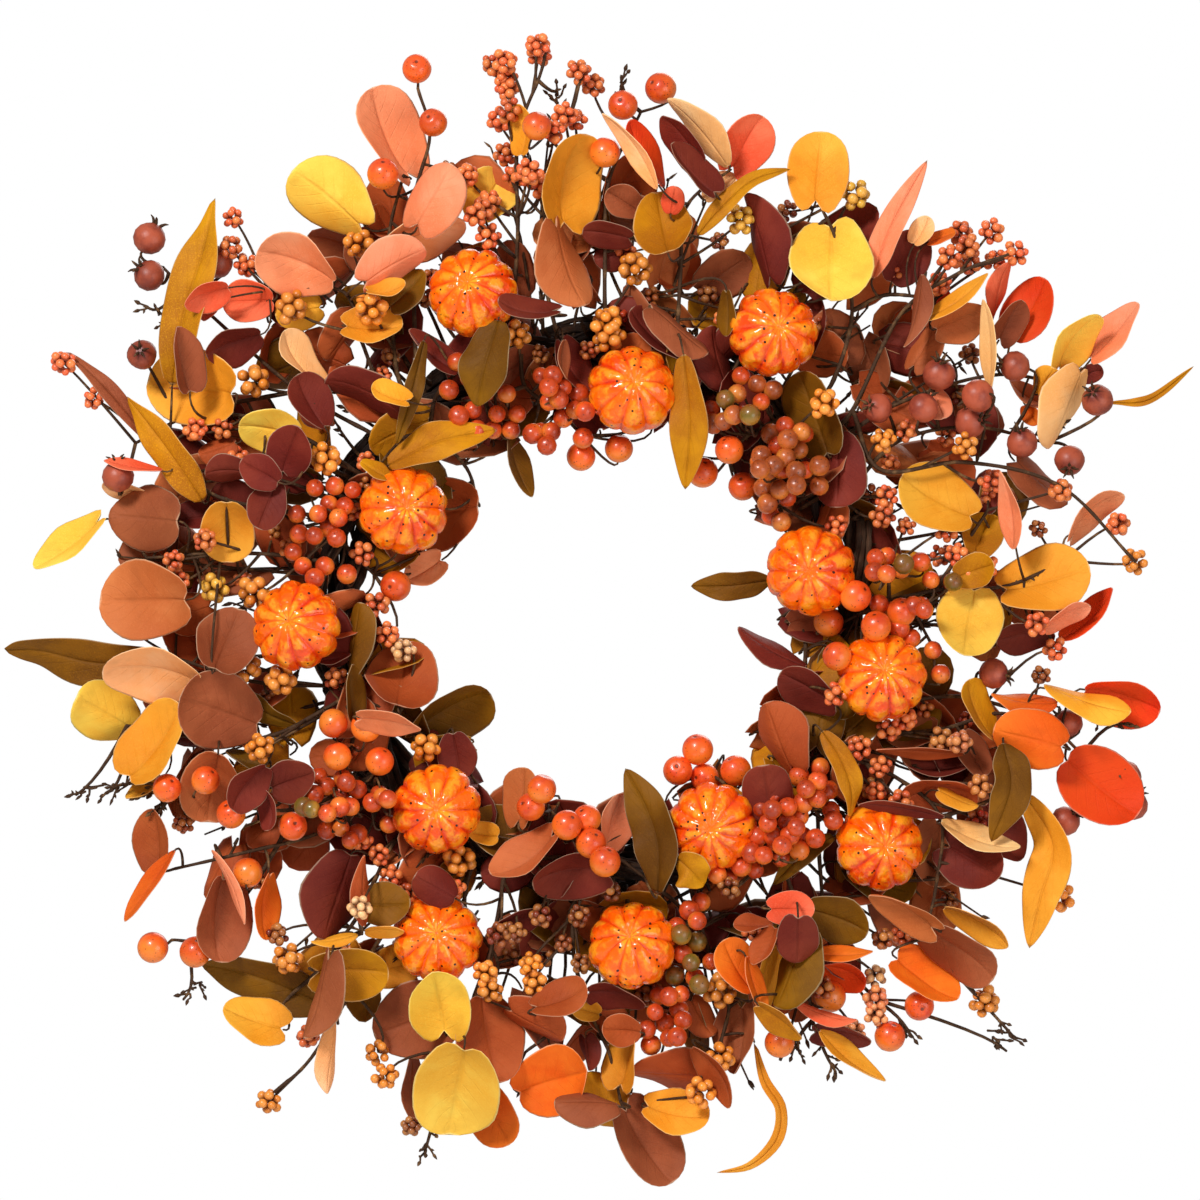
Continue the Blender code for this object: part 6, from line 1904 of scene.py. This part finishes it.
def fill_leaves(draw, leaves, stems, every_stem):
    """Small dark leaves, headed outwards on the whole."""
    for x, z, reach in filler_spots(draw, sizes().filler_leaves, FILLER_LEAF_BAND):
        kind = any_of(FILLER_KINDS, draw)
        heading = math.degrees(math.atan2(z, x)) + draw.normal(0.0, FILLER_LEAF_TURN)
        length = draw.uniform(*FILLER_LEAF_LENGTHS)
        width = draw.uniform(*FILLER_LEAF_WIDTHS)
        lift = over_ring(reach, draw.uniform(*FILLER_LEAF_LIFTS))
        shape = leaf_shape((kind, x, z, heading, length, width, lift), int(draw.integers(2)))
        half = half_of(x)
        base = add_leaf(leaves[half], kind, shape, draw, FILLER_ROWS, FILLER_PLACES)
        add_stalk(stems[half], base, -np.array(shape[1]), every_stem, draw)


def fill_twigs(draw, stems):
    """Bare bowed twigs that stand out from the ring, with buds along their outer half."""
    near = FILLER_TWIG_BAND[0]
    for x, z, reach in filler_spots(draw, sizes().filler_twigs, FILLER_TWIG_BAND):
        heap = stems[half_of(x)]
        lean = math.radians(draw.normal(0.0, FILLER_TWIG_LEAN))
        tip = plan(x, z, draw.uniform(*FILLER_TWIG_LIFTS))
        outward = Vector((x, 0.0, z)).normalized()
        root = plan(x * near / reach, z * near / reach, draw.uniform(*FILLER_ROOT_LIFTS))
        root = root + Vector((outward.z, 0.0, -outward.x)) * 0.02 * math.sin(lean)
        bow = (root + tip) / 2.0 + Vector(draw.normal(0.0, 0.004, 3))
        line = smooth_line([root, bow, tip], FILLER_TWIG_POINTS)
        add_tube(heap, line, np.linspace(0.0011, 0.0005, FILLER_TWIG_POINTS), 5)
        for _ in range(FILLER_BUDS):
            place = Vector(line[int(draw.integers(FILLER_TWIG_POINTS // 2, FILLER_TWIG_POINTS))])
            along = (outward + Vector(draw.normal(0.0, 0.7, 3))).normalized()
            length = draw.uniform(*TWIG_BUD_LENGTHS)
            add_bud(heap, place, along, length, draw.uniform(*TWIG_BUD_WIDTHS), 5)


def fill_beads(draw, stems, every_stem):
    """Clumps of dusky beads, each on a short stalk. Gives their places."""
    spots = []
    for x, z, reach in filler_spots(draw, sizes().filler_clumps, FILLER_BEAD_BAND):
        kind = any_of(FILLER_BEADS, draw)
        centre = plan(x, z, over_ring(reach, draw.uniform(*FILLER_CLUMP_LIFTS)))
        spots.append(clump_spot(kind, centre, draw.uniform(*FILLER_CLUMP_RADII), draw))
        add_stalk(stems[half_of(x)], centre - FRONT * 0.002, -FRONT * 0.3, every_stem, draw)
    return spots


def build_filler():
    """What fills the wreath behind its sprays: dark leaves, dusky beads and bare twigs."""
    draw = np.random.default_rng(FILLER_SEED)
    every_stem = np.vstack(list(Store.stems.values()))
    leaves = {"left": Heap(), "right": Heap()}
    stems = {"left": Heap(), "right": Heap()}
    fill_leaves(draw, leaves, stems, every_stem)
    fill_twigs(draw, stems)
    spots = fill_beads(draw, stems, every_stem)
    for half in leaves:
        put(leaves[half], f"filler_leaves_{half}", "leaf_fabric")
        put(stems[half], f"filler_stems_{half}", "stem_wrap")
    piece = grown("filler_beads", spot_mesh("filler_beads", spots), bead_tree(finish_for("bead_foam")),
                  {"Bead Share": sizes().bead_share, "Seed": 9})
    settle(piece, "bead_foam")


def build_stage():
    """A pale floor well below the wreath, soft studio light and the camera."""
    scene = bpy.context.scene
    scene.view_settings.view_transform = "Standard"
    floor = bpy.data.meshes.new("floor")
    corners = [(x * FLOOR_HALF, y * FLOOR_HALF, FLOOR_HEIGHT)
               for x, y in ((-1.0, -1.0), (1.0, -1.0), (1.0, 1.0), (-1.0, 1.0))]
    floor.from_pydata(corners, [], [(0, 1, 2, 3)])
    floor.materials.append(floor_finish())
    floor_piece = bpy.data.objects.new("floor", floor)
    scene.collection.objects.link(floor_piece)
    for name, (place, width, power) in LIGHTS.items():
        add_light(name, place, width, power)
    world = bpy.data.worlds.new("studio")
    scene.world = world
    world.use_nodes = True
    tree = world.node_tree
    tree.nodes.clear()
    wire = Wire(tree)
    seen = wire.add("ShaderNodeLightPath", output="Is Camera Ray")
    dim = wire.add("ShaderNodeBackground", (), {"Color": WORLD_LIGHT, "Strength": WORLD_STRENGTH})
    white = wire.add("ShaderNodeBackground", (), {"Color": (1.0, 1.0, 1.0, 1.0), "Strength": 1.0})
    mixed = wire.add("ShaderNodeMixShader", (), {0: seen, 1: dim, 2: white})
    world_output = tree.nodes.new("ShaderNodeOutputWorld")
    tree.links.new(mixed.socket, world_output.inputs["Surface"])
    camera = bpy.data.cameras.new("camera")
    camera.lens = LENS
    camera.clip_end = 50.0
    eye = bpy.data.objects.new("camera", camera)
    centre = plan(1.5, 5.0)
    eye.location = (centre.x, SEEN_PLANE - SEEN_WIDTH * camera.lens / camera.sensor_width, centre.z)
    eye.rotation_euler = (math.pi / 2.0, 0.0, 0.0)
    scene.collection.objects.link(eye)
    scene.camera = eye


def add_light(name, place, width, power):
    """A soft round lamp aimed at the middle of the ring, unseen by the camera."""
    light = bpy.data.lights.new(name, "AREA")
    light.shape = "DISK"
    light.size = width
    light.energy = power
    lamp = bpy.data.objects.new(name, light)
    lamp.location = place
    aim = RING_CENTRE - Vector(place)
    lamp.rotation_euler = aim.to_track_quat("-Z", "Y").to_euler()
    lamp.visible_camera = False
    bpy.context.scene.collection.objects.link(lamp)


# ---------------------------------------------------------------- operators and panel

class WREATH_OT_vines(bpy.types.Operator):
    """Build the ring: three vines of twisted twigs and some loose ends"""
    bl_idname = "wreath.vines"
    bl_label = "Vines"

    def execute(self, context):
        build_vines()
        return {"FINISHED"}


class WREATH_OT_ties(bpy.types.Operator):
    """Wind the cane ties round the vines"""
    bl_idname = "wreath.ties"
    bl_label = "Cane ties"

    def execute(self, context):
        build_ties()
        return {"FINISHED"}


class WREATH_OT_pumpkins(bpy.types.Operator):
    """Build the lacquered pumpkins and their picks"""
    bl_idname = "wreath.pumpkins"
    bl_label = "Pumpkins"

    def execute(self, context):
        build_pumpkins()
        return {"FINISHED"}


class WREATH_OT_leaf_sprays(bpy.types.Operator):
    """Build the sprays of round and oval foam leaves"""
    bl_idname = "wreath.leaf_sprays"
    bl_label = "Leaf sprays"

    def execute(self, context):
        build_leaf_sprays()
        return {"FINISHED"}


class WREATH_OT_long_leaves(bpy.types.Operator):
    """Build the sprays of long willow leaves"""
    bl_idname = "wreath.long_leaves"
    bl_label = "Long leaf sprays"

    def execute(self, context):
        build_long_leaves()
        return {"FINISHED"}


class WREATH_OT_berries(bpy.types.Operator):
    """Build the berry branches: single berries and clusters"""
    bl_idname = "wreath.berries"
    bl_label = "Berry branches"

    def execute(self, context):
        build_berries()
        return {"FINISHED"}


class WREATH_OT_hips(bpy.types.Operator):
    """Build the rosehip branches"""
    bl_idname = "wreath.hips"
    bl_label = "Rosehip branches"

    def execute(self, context):
        build_hips()
        return {"FINISHED"}


class WREATH_OT_beads(bpy.types.Operator):
    """Build the bead sprigs, the loose clumps of beads and the bare twig tips"""
    bl_idname = "wreath.beads"
    bl_label = "Bead sprigs"

    def execute(self, context):
        build_beads()
        return {"FINISHED"}


class WREATH_OT_filler(bpy.types.Operator):
    """Fill the wreath behind its sprays with dark leaves, beads and bare twigs"""
    bl_idname = "wreath.filler"
    bl_label = "Filler"

    def execute(self, context):
        build_filler()
        return {"FINISHED"}


class WREATH_OT_stage(bpy.types.Operator):
    """Lay the floor, hang the lights and place the camera"""
    bl_idname = "wreath.stage"
    bl_label = "Stage"

    def execute(self, context):
        build_stage()
        return {"FINISHED"}


OPERATORS = (WREATH_OT_vines, WREATH_OT_ties, WREATH_OT_pumpkins, WREATH_OT_leaf_sprays,
             WREATH_OT_long_leaves, WREATH_OT_berries, WREATH_OT_hips, WREATH_OT_beads,
             WREATH_OT_filler, WREATH_OT_stage)


class WREATH_PT_panel(bpy.types.Panel):
    """The wreath's sizes, colours and build steps in the sidebar"""
    bl_idname = "WREATH_PT_panel"
    bl_label = "Harvest door wreath"
    bl_space_type = "VIEW_3D"
    bl_region_type = "UI"
    bl_category = "Wreath"

    def draw(self, context):
        for group in (context.scene.wreath_sizes, context.scene.wreath_colours):
            box = self.layout.box()
            for name in group.__annotations__:
                box.prop(group, name)
        for operator in OPERATORS:
            self.layout.operator(operator.bl_idname)


CLASSES = (WreathSizes, WreathColours) + OPERATORS + (WREATH_PT_panel,)


def register():
    for entry in CLASSES:
        bpy.utils.register_class(entry)
    bpy.types.Scene.wreath_sizes = PointerProperty(type=WreathSizes)
    bpy.types.Scene.wreath_colours = PointerProperty(type=WreathColours)


def unregister():
    del bpy.types.Scene.wreath_colours
    del bpy.types.Scene.wreath_sizes
    for entry in reversed(CLASSES):
        bpy.utils.unregister_class(entry)


def main():
    """Register the add-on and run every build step."""
    register()
    for operator in OPERATORS:
        group, step = operator.bl_idname.split(".")
        getattr(getattr(bpy.ops, group), step)()


if __name__ == "__main__":
    main()
